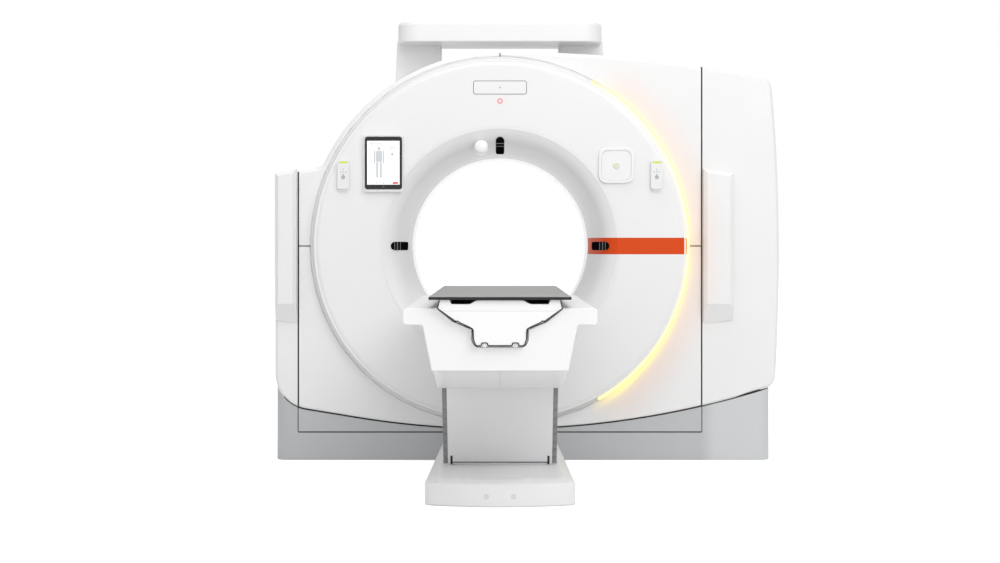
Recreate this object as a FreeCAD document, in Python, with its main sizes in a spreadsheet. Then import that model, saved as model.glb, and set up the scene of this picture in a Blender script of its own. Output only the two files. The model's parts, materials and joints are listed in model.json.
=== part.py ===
import FreeCAD, Part

import math
import os
from types import SimpleNamespace

import Sketcher

# A CT scanner: a ring-shaped gantry with a wide bore, and a patient table on
# two swing arms in front of it.
# X runs to the right, Y into the bore from the table side, Z up.
# The origin is on the floor, straight under the isocentre.

SIZES = {
    # gantry: heights are above the floor, radii are from the bore axis
    "iso_height": 990,
    "bore_radius": 425,
    "front_depth": 460,
    "disc_depth": 517,
    "rim_radius": 900,
    "roof_radius": 6430,
    "belly_radius": 4150,
    "belly_low": 140,
    "left_side": 1040,
    "right_top": 1262,
    "right_low": 1290,
    "right_bulge_radius": 9000,
    "shoulder_angle": 24,
    "shoulder_height": 1315,
    "shoulder_round": 35,
    "hip_height": 255,
    "hip_start": 700,
    "hip_round": 170,
    "cover_wall": 8,
    "cover_bevel": 12,
    "corner_round": 60,
    "seam_gap": 3,
    "hair_gap": 0.15,
    "side_seam": 933,
    "waist_seam": -20,
    "floor_hole_edge": 40,
    "floor_hole_top": 330,
    "beyond": 4000,
    # front disc and its funnel
    "disc_radius": 862,
    "disc_chin": 800,
    "disc_bevel": 22,
    "disc_rib": 846,
    "disc_skirt": 77,
    "disc_wall": 6,
    "groove_width": 16,
    "groove_fit": 0.3,
    "mouth_radius": 540,
    "lip_radius": 489,
    "lip_depth": 34,
    "cheek_radius": 464.5,
    "cheek_depth": 81,
    "throat_depth": 300,
    "funnel_back_radius": 445,
    "funnel_back_depth": 267,
    "rear_depth": 500,
    "rear_mouth": 520,
    "rear_throat": 70,
    "tunnel_wall": 6,
    "window_width": 26,
    "window_fit": 0.03,
    "core_lead": 20,
    "step_lead": 4,
    "light_sweep": 61,
    "light_recess": 4,
    "guide_thickness": 14,
    # things on the front disc
    "skin": 0.8,
    "band_height": 76,
    "laser_width": 39,
    "laser_inner": 432,
    "laser_outer": 503,
    "laser_proud": 1.4,
    "hatch_width": 240,
    "hatch_height": 57,
    "hatch_level": 729,
    "hatch_proud": 1.5,
    "hatch_round": 8,
    "status_level": 667,
    "status_radius": 12.5,
    "status_bore": 8,
    "dome_across": -86,
    "dome_level": 455,
    "dome_radius": 33,
    "dome_bulge": 15,
    "dome_front": 520,
    "dome_skirt": 14,
    "dome_behind": 60,
    "dock_across": 535,
    "dock_level": 381,
    "dock_width": 182,
    "dock_height": 265,
    "dock_thick": 24,
    "dock_round": 12,
    "tablet_width": 169.5,
    "tablet_height": 240,
    "tablet_thick": 7.5,
    "tablet_sink": 3,
    "tablet_round": 10,
    "home_radius": 5.5,
    "home_inset": 11,
    "home_depth": 1.4,
    "home_travel": 0.4,
    "plate_level": 371,
    "plate_size": 164,
    "plate_thick": 12,
    "plate_rim": 14,
    "plate_round": 34,
    "puck_radius": 15,
    "puck_height": 3,
    "remote_across": 720,
    "remote_level": 328,
    "remote_width": 53,
    "remote_height": 133,
    "remote_thick": 20,
    "remote_round": 10,
    "holder_wall": 3,
    "holder_lip": 16,
    "key_drop": 12,
    "key_radius": 9,
    "key_height": 3,
    "key_travel": 1,
    "key_play": 0.08,
    # side scoops
    "scoop_inner": 939,
    "scoop_outer": 1076,
    "scoop_left_outer": 1037,
    "scoop_top": 1345,
    "scoop_low": 629,
    "scoop_taper": 20,
    "scoop_proud": 55,
    "scoop_bevel": 16,
    "scoop_ramp": 95,
    # plinth
    "plinth_left": 1036,
    "plinth_right": 1250,
    "plinth_recess": 8,
    "plinth_round": 58,
    "kick_seam": 130,
    # bridge on top of the gantry
    "bridge_width": 996,
    "bridge_top": 2083,
    "bridge_underside": 1984,
    "bridge_front": 50,
    "bridge_back": 455,
    "bridge_round": 55,
    "bridge_leg_front": 275,
    "bridge_leg_outer": 516,
    "bridge_gap_half": 292,
    "bridge_edge": 12,
    "bridge_lip": 22,
    # steel inside the gantry
    "floor_rail": 60,
    "stator_front": 190,
    "stator_thick": 40,
    "bearing_outer": 705,
    "bearing_radius": 645,
    "bearing_play": 0.1,
    "bearing_width": 50,
    "drum_inner": 470,
    "drum_radius": 798,
    "drum_front": 30,
    "drum_thick": 30,
    "hub_inner": 590,
    "hub_end": 250,
    "slip_ring_inner": 535,
    "slip_ring_width": 40,
    "brush_gap": 6,
    "brush_half": 30,
    "brush_reach": 25,
    "motor_room": 720,
    "tube_orbit": 650,
    "tube_radius": 92,
    "tube_length": 340,
    "collimator_width": 220,
    "collimator_length": 200,
    "detector_inner": 560,
    "detector_outer": 640,
    "detector_sweep": 110,
    "detector_length": 150,
    "generator_inner": 560,
    "generator_width": 190,
    "generator_height": 300,
    "generator_length": 270,
    "motor_angle": 42,
    "motor_radius": 80,
    "motor_gap": 14,
    "wheel_radius": 60,
    "wheel_shaft": 14,
    "motor_wall": 20,
    "wheel_play": 0.05,
    # table: plan and base
    "table_rear": 452.3,
    "base_front": 2300,
    "base_shoulder": 2195,
    "base_half": 290,
    "base_nose_half": 150,
    "base_rear_half": 264,
    "base_top": 118.5,
    "base_nose_height": 84,
    "base_slope_start": 1900,
    "base_back_lean": 0.01,
    "base_wall": 5,
    "base_corner": 60,
    "base_plate": 20,
    # swing arms
    "arm_length": 500,
    "arm_lean": 37.5,
    "arm_foot_y": -1848,
    "arm_foot_z": 180,
    "arm_spacing": 700,
    "arm_outer": 170,
    "arm_inner": 150,
    "arm_half": 28,
    "arm_web_low": 150,
    "arm_web_high": 350,
    "pin_radius": 18,
    "pin_play": 0.05,
    "open_play": 0.5,
    "block_inner": 172,
    "block_outer": 200,
    "block_heel": 34,
    "block_depth": 64,
    "block_nose": 30,
    "link_clip": 14,
    "web_thick": 12,
    "gear_radius": 40,
    "gear_half": 110,
    "panel_half": 207.5,
    "panel_offset": 45,
    "panel_thick": 4,
    "panel_foot": -41,
    "panel_head": 440,
    "gaiter_width": 18,
    "gaiter_back": 51.5,
    "gaiter_foot": -38,
    "gaiter_head": 420,
    "pleat_count": 22,
    "pleat_fold": 7,
    # upper table
    "housing_front": 2761,
    "housing_rear": 700,
    "flange_half": 349,
    "flange_top": 768,
    "flange_thick": 61,
    "flange_round": 14,
    "tub_top_half": 278,
    "tub_low_half": 245,
    "tub_low": 542,
    "tub_wall": 6,
    "belly_level": 443,
    "belly_front": 2165,
    "belly_rear": 850,
    "belly_half": 240,
    "belly_step": 36,
    "frame_inner": 176,
    "frame_outer": 190,
    "frame_low": 545,
    "frame_high": 618,
    "frame_front": 2600,
    "frame_rear": 820,
    # cradle, given as half widths and heights of its cross-section
    "cradle_front": 2788,
    "cradle_rear": 592,
    "cradle_half": 225,
    "cradle_widest": 769,
    "cradle_crown_half": 206,
    "cradle_top": 793.5,
    "ridge_half": 188,
    "hull_half": 165,
    "hull_knee": 722,
    "keel_half": 107,
    "keel_level": 697,
    "bed_level": 752,
    "carriage_length": 450,
    "carriage_top_half": 98,
    "carriage_low_half": 88,
    "carriage_top_drop": 43,
    "carriage_low": 631,
    "carriage_round": 18,
    "cap_thick": 14,
    "cap_dip": 783,
    "cradle_gap": 3.5,
    "rail_across": 55,
    "rail_width": 14,
    "rail_height": 12,
    "rail_play": 0.3,
    "overlay_half": 255,
    "overlay_thick": 15,
    "overlay_front": 2802,
    "overlay_cut": 10,
}


# --- sizes that carry their own formula -------------------------------------


class Size:
    """A length or angle, with its value and its formula in the sheet's names."""

    def __init__(self, value, formula):
        self.value = value
        self.formula = formula

    def __add__(self, other):
        other = size(other)
        return Size(self.value + other.value, f"({self.formula} + {other.formula})")

    def __sub__(self, other):
        other = size(other)
        return Size(self.value - other.value, f"({self.formula} - {other.formula})")

    def __mul__(self, other):
        other = size(other)
        return Size(self.value * other.value, f"({self.formula} * {other.formula})")

    def __truediv__(self, other):
        other = size(other)
        return Size(self.value / other.value, f"({self.formula} / {other.formula})")

    def __radd__(self, other):
        return size(other) + self

    def __rsub__(self, other):
        return size(other) - self

    def __rmul__(self, other):
        return size(other) * self

    def __rtruediv__(self, other):
        return size(other) / self

    def __neg__(self):
        return size(0) - self


def size(amount):
    """A plain number as a Size, and a Size as it is."""
    if isinstance(amount, Size):
        return amount
    return Size(float(amount), repr(float(amount)))


def root(amount):
    """The square root of a size."""
    return Size(math.sqrt(amount.value), f"sqrt({amount.formula})")


def sine(angle):
    """The sine of an angle in degrees."""
    return Size(math.sin(math.radians(angle.value)), f"sin({angle.formula})")


def cosine(angle):
    """The cosine of an angle in degrees."""
    return Size(math.cos(math.radians(angle.value)), f"cos({angle.formula})")


doc = FreeCAD.newDocument("ct_scanner")
sheet = doc.addObject("Spreadsheet::Sheet", "sizes")
for row, (name, number) in enumerate(SIZES.items(), 1):
    sheet.set(f"A{row}", name)
    sheet.set(f"B{row}", str(number))
    sheet.setAlias(f"B{row}", name)
doc.recompute()
dim = SimpleNamespace(**{k: Size(float(v), "sizes." + k) for k, v in SIZES.items()})

nodes = []


def publish(thing, label):
    """Name an object as a sub-part of the scanner."""
    thing.Label = label
    nodes.append(thing)
    return thing


def drive(thing, path, amount):
    """Tie a property to a formula on the sheet."""
    thing.setExpression(path, size(amount).formula)


def place(thing, x=0, y=0, z=0):
    """Tie an object's position to the sheet."""
    for axis, amount in zip("xyz", (x, y, z)):
        drive(thing, f"Placement.Base.{axis}", amount)


# --- sketches ---------------------------------------------------------------


def pin_down(sketch, geometry, point, u, v):
    """Hold a sketch point at the distances u and v from the sketch's origin."""
    for kind, amount in (("DistanceX", u), ("DistanceY", v)):
        rule = Sketcher.Constraint(kind, -1, 1, geometry, point, amount.value)
        index = sketch.addConstraint(rule)
        sketch.setExpression(f"Constraints[{index}]", amount.formula)


def hold_radius(sketch, geometry, radius):
    """Hold the radius of an arc or circle."""
    index = sketch.addConstraint(Sketcher.Constraint("Radius", geometry, radius.value))
    sketch.setExpression(f"Constraints[{index}]", radius.formula)


def arc_between(start, end, radius):
    """The short arc from start to end that turns left round its centre."""
    chord = end - start
    middle = (start + end) * 0.5
    rise = math.sqrt(max(radius * radius - chord.Length * chord.Length / 4, 0))
    left = FreeCAD.Vector(-chord.y, chord.x, 0).normalize()
    centre = middle + left * rise
    first = math.atan2(start.y - centre.y, start.x - centre.x)
    last = math.atan2(end.y - centre.y, end.x - centre.x)
    circle = Part.Circle(centre, FreeCAD.Vector(0, 0, 1), radius)
    return Part.ArcOfCircle(circle, first, last)


def add_ring(sketch, corners):
    """Draw a closed ring.

    A corner is (u, v), (u, v, r) where it is rounded, or (u, v, 0, R) where the
    next edge is an arc of radius R with its centre on the left, or on the right
    where R is negative.
    """
    count = len(corners)
    places = [(size(c[0]), size(c[1])) for c in corners]
    rounds = [size(c[2]) if len(c) > 2 else size(0) for c in corners]
    bows = [c[3] if len(c) > 3 else None for c in corners]
    spots = [FreeCAD.Vector(u.value, v.value, 0) for u, v in places]
    enter, leave, centres = list(spots), list(spots), [None] * count
    for i in range(count):
        if rounds[i].value:
            back = (spots[i - 1] - spots[i]).normalize()
            ahead = (spots[(i + 1) % count] - spots[i]).normalize()
            half = back.getAngle(ahead) / 2
            reach = rounds[i].value / math.tan(half)
            enter[i] = spots[i] + back * reach
            leave[i] = spots[i] + ahead * reach
            centres[i] = spots[i] + (back + ahead).normalize() * (rounds[i].value / math.sin(half))
    edges = []
    for i in range(count):
        start, end = leave[i], enter[(i + 1) % count]
        if bows[i] is None:
            edges.append((sketch.addGeometry(Part.LineSegment(start, end), False), 1, 2))
        elif bows[i].value > 0:
            arc = arc_between(start, end, bows[i].value)
            edges.append((sketch.addGeometry(arc, False), 1, 2))
            hold_radius(sketch, edges[i][0], bows[i])
        else:
            arc = arc_between(end, start, -bows[i].value)
            edges.append((sketch.addGeometry(arc, False), 2, 1))
            hold_radius(sketch, edges[i][0], -bows[i])
    for i in range(count):
        before, after = edges[i - 1], edges[i]
        u, v = places[i]
        if centres[i] is None:
            meet = Sketcher.Constraint("Coincident", before[0], before[2], after[0], after[1])
            sketch.addConstraint(meet)
            pin_down(sketch, after[0], after[1], u, v)
            continue
        turn_left = (spots[i] - spots[i - 1]).cross(spots[(i + 1) % count] - spots[i]).z > 0
        first, last = (enter[i], leave[i]) if turn_left else (leave[i], enter[i])
        angles = [math.atan2(p.y - centres[i].y, p.x - centres[i].x) for p in (first, last)]
        circle = Part.Circle(centres[i], FreeCAD.Vector(0, 0, 1), rounds[i].value)
        arc = sketch.addGeometry(Part.ArcOfCircle(circle, *angles), False)
        near, far = (1, 2) if turn_left else (2, 1)
        sketch.addConstraint(Sketcher.Constraint("Tangent", before[0], before[2], arc, near))
        sketch.addConstraint(Sketcher.Constraint("Tangent", arc, far, after[0], after[1]))
        hold_radius(sketch, arc, rounds[i])
        mark = sketch.addGeometry(Part.Point(spots[i]), True)
        sketch.addConstraint(Sketcher.Constraint("PointOnObject", mark, 1, before[0]))
        sketch.addConstraint(Sketcher.Constraint("PointOnObject", mark, 1, after[0]))
        pin_down(sketch, mark, 1, u, v)


def new_body(name, x=0, y=0, z=0):
    """A PartDesign body at a place."""
    body = doc.addObject("PartDesign::Body", name)
    place(body, x, y, z)
    return body


def new_sketch(body, plane, rings=(), circles=(), lift=0):
    """A sketch on one of the body's origin planes, lifted along its normal."""
    support = next(f for f in body.Origin.OriginFeatures if f.Role == plane + "_Plane")
    sketch = body.newObject("Sketcher::SketchObject", body.Name + "_sketch")
    sketch.AttachmentSupport = [(support, "")]
    sketch.MapMode = "FlatFace"
    drive(sketch, "AttachmentOffset.Base.z", lift)
    for corners in rings:
        add_ring(sketch, corners)
    for u, v, radius in circles:
        u, v, radius = size(u), size(v), size(radius)
        circle = Part.Circle(FreeCAD.Vector(u.value, v.value, 0), FreeCAD.Vector(0, 0, 1), radius.value)
        index = sketch.addGeometry(circle, False)
        pin_down(sketch, index, 3, u, v)
        hold_radius(sketch, index, radius)
    return sketch


def extend(body, kind, sketch, length, both=False, back=False):
    """A pad or pocket of the sketch."""
    feature = body.newObject("PartDesign::" + kind, f"{body.Name}_{kind.lower()}")
    feature.Profile = (sketch, [""])
    feature.SideType = "Symmetric" if both else "One side"
    feature.Reversed = back
    drive(feature, "Length", length)
    sketch.Visibility = False
    return feature


def pad(body, sketch, length, both=False, back=False):
    """Add the sketch's area along its normal, or against it with back."""
    return extend(body, "Pad", sketch, length, both, back)


def pocket(body, sketch, length, both=False, back=False):
    """Cut the sketch's area against its normal, or along it with back."""
    return extend(body, "Pocket", sketch, length, both, back)


def soften(body, radius, wanted):
    """Fillet the edges of the body's last feature that the test accepts."""
    doc.recompute()
    last = body.Tip
    names = [f"Edge{i}" for i, e in enumerate(last.Shape.Edges, 1) if wanted(e)]
    feature = body.newObject("PartDesign::Fillet", body.Name + "_fillet")
    feature.Base = (last, names)
    drive(feature, "Radius", radius)
    return feature


def bevel(body, width, wanted):
    """Chamfer the edges of the body's last feature that the test accepts."""
    doc.recompute()
    last = body.Tip
    names = [f"Edge{i}" for i, e in enumerate(last.Shape.Edges, 1) if wanted(e)]
    feature = body.newObject("PartDesign::Chamfer", body.Name + "_chamfer")
    feature.Base = (last, names)
    drive(feature, "Size", width)
    return feature


def flat_at(axis, level):
    """A test for edges that lie whole in the plane where axis is at level."""
    level = size(level).value

    def test(edge):
        bounds = edge.BoundBox
        low, high = getattr(bounds, axis + "Min"), getattr(bounds, axis + "Max")
        return abs(low - level) < 0.01 and abs(high - level) < 0.01

    return test


# --- primitives and booleans ------------------------------------------------


def box(name, x, y, z):
    """A box between the low and high sizes on each axis."""
    thing = doc.addObject("Part::Box", name)
    for prop, (low, high) in zip(("Length", "Width", "Height"), (x, y, z)):
        drive(thing, prop, size(high) - size(low))
    place(thing, x[0], y[0], z[0])
    return thing


TURNS = {
    "X": FreeCAD.Rotation(FreeCAD.Vector(0, 1, 0), 90),
    "Y": FreeCAD.Rotation(FreeCAD.Vector(1, 0, 0), -90),
    "Z": FreeCAD.Rotation(),
}


def rod(name, radius, length, x=0, y=0, z=0, axis="Y"):
    """A cylinder that starts at a place and runs along an axis."""
    thing = doc.addObject("Part::Cylinder", name)
    thing.Placement = FreeCAD.Placement(FreeCAD.Vector(), TURNS[axis])
    drive(thing, "Radius", radius)
    drive(thing, "Height", length)
    place(thing, x, y, z)
    return thing


def fuse(name, *shapes):
    """One solid from several."""
    thing = doc.addObject("Part::MultiFuse", name)
    thing.Shapes = list(shapes)
    thing.Refine = True
    return thing


def common(name, *shapes):
    """What several solids share."""
    thing = doc.addObject("Part::MultiCommon", name)
    thing.Shapes = list(shapes)
    return thing


def cut(name, base, *tools):
    """A solid without the tools' volume."""
    thing = doc.addObject("Part::Cut", name)
    thing.Base = base
    thing.Tool = tools[0] if len(tools) == 1 else fuse(name + "_tools", *tools)
    thing.Refine = True
    return thing


far = dim.beyond
FUNNEL_SIDES = 36
RING_SIDES = 24
MOUTH_STEPS = 12
DISC_SIDES = 32
DETECTOR_SIDES = 48
STATOR_SIDES = 16
TUBE_SIDES = 16
PUCK_SIDES = 16
WHEEL_SIDES = 32
KEY_SIDES = 12


# --- gantry covers ----------------------------------------------------------


def roof(x, inset):
    """Height of the roof arc above the bore axis at x."""
    radius = dim.roof_radius - inset
    return dim.rim_radius - dim.roof_radius + root(radius * radius - x * x)


def belly(x, inset):
    """Height of the covers' lower arc, below the bore axis and so negative, at x."""
    radius = dim.belly_radius - inset
    return dim.belly_low - dim.iso_height + dim.belly_radius - root(radius * radius - x * x)


def gantry_block(name, inset, bevelled=True):
    """The whole body inside the covers' outer faces, or inset from them."""
    inset = size(inset)
    rim = dim.rim_radius - inset
    left = inset - dim.left_side
    right_low = dim.right_low - inset
    right_top = dim.right_top - inset
    start = -dim.hip_start
    corners = [
        (0, belly(size(0), inset), 0, dim.belly_radius - inset),
        (right_low, belly(right_low, inset), 0, dim.right_bulge_radius - inset),
        (right_top, roof(right_top, inset), 0, dim.roof_radius - inset),
        (0, rim, 0, rim),
        (-(rim * cosine(dim.shoulder_angle)), rim * sine(dim.shoulder_angle)),
        (left, dim.shoulder_height - dim.iso_height - inset, dim.shoulder_round - inset),
        (left, dim.hip_height - dim.iso_height + inset, dim.hip_round - inset),
        (start, belly(start, inset), 0, dim.belly_radius - inset),
    ]
    body = new_body(name, z=dim.iso_height)
    sketch = new_sketch(body, "XZ", [corners])
    half = dim.front_depth - inset
    pad(body, sketch, 2 * half, both=True)
    sharp = [right_low.value, right_top.value, start.value, corners[4][0].value]
    deep = lambda e: e.BoundBox.YLength > half.value
    soften(
        body,
        dim.corner_round - inset,
        lambda e: deep(e) and min(abs(e.CenterOfMass.x - x) for x in sharp) < 1,
    )
    if bevelled:
        front, back = flat_at("Y", -half), flat_at("Y", half)
        bevel(body, dim.cover_bevel, lambda e: front(e) or back(e))
    return body


def mouth_outline(grow):
    """The front disc's outline in short straights: a round top on a slightly flattened chin."""
    across = dim.disc_radius + grow
    chin = dim.disc_chin + grow
    flat = dim.disc_radius - dim.disc_chin
    turns = [size(90 * i / MOUTH_STEPS) for i in range(MOUTH_STEPS + 1)]
    top = [(across * cosine(turn), across * sine(turn)) for turn in turns]
    low = [(flat + chin * cosine(turn), -chin * sine(turn)) for turn in turns[1:]]
    right = low[::-1] + top
    return right + [(-x, z) for x, z in right[-2::-1]]


def mouth_slab(name, grow, front, back):
    """The disc's outline, grown, as a slab from front to back along the bore."""
    body = new_body(name, z=dim.iso_height)
    sketch = new_sketch(body, "XZ", [mouth_outline(size(grow))], lift=-size(front))
    pad(body, sketch, size(back) - size(front), back=True)
    return body


def polygon(x, z, radius, count):
    """The corners of a regular polygon, with a flat side at its bottom."""
    step = 360 / count
    turns = [size(step * (i + 0.5) - 90) for i in range(count)]
    return [(x + radius * cosine(turn), z + radius * sine(turn)) for turn in turns]


def many_sided(name, radius, count, front, back, hole=None):
    """A many-sided prism round the bore axis, perhaps with a round hole."""
    body = new_body(name, z=dim.iso_height)
    rings = [polygon(size(0), size(0), radius, count)]
    sketch = new_sketch(body, "XZ", rings, [(0, 0, hole)] if hole else (), lift=-size(front))
    pad(body, sketch, size(back) - size(front), back=True)
    return body


block = gantry_block("gantry_block", 0)
hollow = gantry_block("gantry_hollow", dim.cover_wall, False)
floor_hole = box(
    "floor_hole",
    (dim.floor_hole_edge - dim.left_side, dim.right_top - dim.floor_hole_edge),
    (dim.cover_wall - dim.front_depth, dim.front_depth - dim.cover_wall),
    (0, dim.floor_hole_top),
)
shell = cut("gantry_shell", block, hollow, floor_hole)
mouth = fuse(
    "mouth_hole",
    mouth_slab("front_hole", dim.groove_width, -2 * dim.front_depth, 0),
    mouth_slab("rear_hole", dim.groove_fit, 0, 2 * dim.front_depth),
)
open_shell = cut("open_shell", shell, mouth)

seam = dim.side_seam
gap = dim.seam_gap
hair = dim.hair_gap
waist_front = dim.waist_seam - 2 * hair
QUARTERS = {
    "upper_left": ((-seam, -gap / 2), (dim.iso_height + gap / 2, far)),
    "upper_right": ((gap / 2, seam), (dim.iso_height + gap / 2, far)),
    "lower_left": ((-seam, -hair), (0, dim.iso_height - gap / 2)),
    "lower_right": ((hair, seam), (0, dim.iso_height - gap / 2)),
}
for label, (across, up) in QUARTERS.items():
    zone = box("zone_front_" + label, across, (-far, waist_front), up)
    publish(common("front_cover_" + label, open_shell, zone), "front_cover_" + label)
zone = fuse(
    "zone_rear",
    box("zone_rear_upper", (-seam, seam), (dim.waist_seam, far), (dim.iso_height + hair, far)),
    box("zone_rear_lower", (-seam, seam), (dim.waist_seam, far), (0, dim.iso_height - hair)),
)
publish(common("rear_covers_cut", open_shell, zone), "rear_covers")


# --- side covers with their scoops ------------------------------------------


def scoop(name, side, outer):
    """An air scoop: a tall bar on a side cover, its foot ramped back."""
    inner = side * dim.scoop_inner
    outer = side * outer
    slant = dim.scoop_taper
    corners = [
        (inner, dim.scoop_low),
        (outer, dim.scoop_low + slant),
        (outer, dim.scoop_top - slant),
        (inner, dim.scoop_top),
    ]
    if side < 0:
        corners.reverse()
    body = new_body(name)
    face = dim.front_depth + dim.scoop_proud
    sketch = new_sketch(body, "XZ", [corners], lift=dim.front_depth - dim.cover_wall / 2)
    pad(body, sketch, dim.scoop_proud + dim.cover_wall / 2)
    bevel(body, dim.scoop_bevel, flat_at("Y", -face))
    return body


def scoop_ramp(name, side, grow):
    """The wedge that ramps the foot of a scoop back, or hollows it."""
    back = grow - dim.front_depth
    front = grow - dim.front_depth - dim.scoop_proud
    low = dim.scoop_low + grow
    corners = [
        (back, low - dim.scoop_ramp * 2),
        (back, low),
        (front, low + dim.scoop_ramp),
        (front - dim.scoop_proud, low + dim.scoop_ramp),
        (front - dim.scoop_proud, low - dim.scoop_ramp * 2),
    ]
    body = new_body(name, x=side * (dim.scoop_inner + dim.scoop_outer) / 2)
    sketch = new_sketch(body, "YZ", [corners[::-1]])
    pad(body, sketch, dim.scoop_outer - dim.scoop_inner + 4 * dim.scoop_bevel, both=True)
    return body


SIDES = {
    "left": (-1, dim.scoop_left_outer, (-far, -(seam + gap))),
    "right": (1, dim.scoop_outer, (seam + gap, far)),
}
for label, (side, outer, across) in SIDES.items():
    zone_front = box("zone_side_front_" + label, across, (-far, waist_front), (0, far))
    zone_rear = box("zone_side_rear_" + label, across, (dim.waist_seam, far), (0, far))
    wall = dim.cover_wall
    solid, ramp = scoop("scoop_" + label, side, outer), scoop_ramp("ramp_" + label, side, 0)
    bar = cut("scoop_bar_" + label, solid, ramp)
    near, away = dim.scoop_inner + wall, outer - wall
    inside = box(
        "scoop_inside_" + label,
        (near, away) if side > 0 else (-away, -near),
        (wall - dim.front_depth - dim.scoop_proud, 2 * wall - dim.front_depth),
        (dim.scoop_low + dim.scoop_ramp + 2 * wall, dim.scoop_top - dim.scoop_taper - 2 * wall),
    )
    front = common("side_shell_front_" + label, shell, zone_front)
    joined = fuse("side_with_scoop_" + label, front, bar)
    publish(cut(f"side_cover_{label}_front", joined, inside), f"side_cover_{label}_front")
    publish(common(f"side_cover_{label}_rear", shell, zone_rear), f"side_cover_{label}_rear")

# black seals that fill the seams of the front
recess = dim.skin
seal_y = (recess - dim.front_depth, dim.cover_wall - dim.front_depth)
half_gap = gap / 2
iso = dim.iso_height
kick = dim.kick_seam
seal_strips = fuse(
    "seal_strips",
    box("seal_right", (seam, seam + gap), seal_y, (kick - half_gap, far)),
    box("seal_left", (-(seam + gap), -seam), seal_y, (kick - half_gap, far)),
    box("seal_top", (-half_gap, half_gap), seal_y, (iso + dim.disc_radius, far)),
    box("seal_waist_right", (dim.disc_radius, seam + gap), seal_y, (iso - half_gap, iso + half_gap)),
    box("seal_waist_left", (-(seam + gap), -dim.disc_radius), seal_y, (iso - half_gap, iso + half_gap)),
)
kick_y = (recess + dim.plinth_recess - dim.front_depth, 2 * dim.cover_wall - dim.front_depth)
seal_kick = cut(
    "seal_kick",
    fuse(
        "seal_kick_strips",
        box("seal_kick_long", (-(seam + gap), seam + gap), kick_y, (kick - half_gap, kick + half_gap)),
        box("seal_kick_right", (seam, seam + gap), kick_y, (kick - half_gap, iso / 2)),
        box("seal_kick_left", (-(seam + gap), -seam), kick_y, (kick - half_gap, iso / 2)),
    ),
    gantry_block("seal_kick_limit", -dim.groove_fit, False),
)
seals_in_block = common("seals_in_block", seal_strips, gantry_block("seal_limit", dim.skin))
seals_cut = cut("seals_cut", seals_in_block, mouth)
publish(fuse("cover_seals_all", seals_cut, seal_kick), "cover_seals")

# --- front and rear discs ----------------------------------------------------


def unit(start, end):
    """The direction from one point to another, as sizes."""
    du, dv = size(end[0]) - start[0], size(end[1]) - start[1]
    length = root(du * du + dv * dv)
    return du / length, dv / length


def offset_path(points, grow):
    """Shift an open path to its left by grow, with its rounds kept concentric."""
    grow = size(grow)
    moved = []
    for i, point in enumerate(points):
        u, v = size(point[0]), size(point[1])
        before = unit(points[i - 1], point) if i else unit(point, points[1])
        after = unit(point, points[i + 1]) if i + 1 < len(points) else before
        lean = 1 + before[0] * after[0] + before[1] * after[1]
        u = u - grow * (before[1] + after[1]) / lean
        v = v + grow * (before[0] + after[0]) / lean
        bend = before[0] * after[1] - before[1] * after[0]
        if len(point) > 2:
            turn = grow if bend.value < 0 else -grow
            moved.append((u, v, point[2] + turn))
        else:
            moved.append((u, v))
    return moved


throat_end = dim.window_width / 2
FRONT_THROAT = [
    (-dim.disc_depth, dim.mouth_radius),
    (dim.lip_depth - dim.disc_depth, dim.lip_radius),
    (dim.cheek_depth - dim.disc_depth, dim.cheek_radius),
    (dim.throat_depth - dim.disc_depth, dim.bore_radius),
    (-throat_end, dim.bore_radius),
]
FRONT_BACK = [
    (-throat_end, dim.bore_radius + dim.tunnel_wall),
    (dim.funnel_back_depth - dim.disc_depth, dim.funnel_back_radius),
    (dim.disc_wall - dim.disc_depth, dim.mouth_radius),
]
REAR_THROAT = [
    (throat_end, dim.bore_radius),
    (dim.rear_depth - dim.rear_throat, dim.bore_radius),
    (dim.rear_depth, dim.rear_mouth),
]
REAR_BACK = [
    (dim.rear_depth - dim.disc_wall, dim.rear_mouth),
    (dim.rear_depth - dim.rear_throat, dim.bore_radius + 2 * dim.tunnel_wall),
    (throat_end, dim.bore_radius + dim.tunnel_wall),
]


def disc_block(name, grow, level, skirt):
    """The disc's full thickness, grown, with its front edge rounded."""
    grow = size(grow)
    body = new_body(name, z=dim.iso_height)
    face = level + grow
    sketch = new_sketch(body, "XZ", [mouth_outline(grow)], lift=face - skirt)
    pad(body, sketch, skirt)
    bevel(body, dim.disc_bevel + (2 - root(size(2))) * grow, flat_at("Y", -face))
    return body


def flared(name, path):
    """A many-sided solid round the bore axis that runs through (y, radius) steps."""
    path = [(size(y), size(radius)) for y, radius in path]
    if path[0][1].value < path[-1][1].value:
        path.reverse()
    steps = []
    for i, ((y, wide), (end, narrow)) in enumerate(zip(path, path[1:])):
        inward = end.value > y.value
        lead = dim.step_lead if i else size(0)
        depth = end - y if inward else y - end
        body = new_body(f"{name}_step_{i}", z=dim.iso_height)
        ring = polygon(size(0), size(0), wide / cosine(size(180 / FUNNEL_SIDES)), FUNNEL_SIDES)
        sketch = new_sketch(body, "XZ", [ring], lift=lead - y if inward else -(y + lead))
        pad(body, sketch, depth + lead, back=inward)
        if wide.value > narrow.value:
            slope = bevel(body, depth, flat_at("Y", end))
            slope.ChamferType = "Two distances"
            drive(slope, "Size2", wide - narrow)
        steps.append(body)
    return fuse(name, *steps) if len(steps) > 1 else steps[0]


def throat_core(name, grow):
    """The space in front of the front funnel's face, narrowed by grow."""
    moved = offset_path(FRONT_THROAT, -size(grow))
    start, end = moved[0], moved[-1]
    return flared(name, [(start[0] - dim.core_lead, start[1])] + moved + [(end[0] + throat_end, end[1])])


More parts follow.
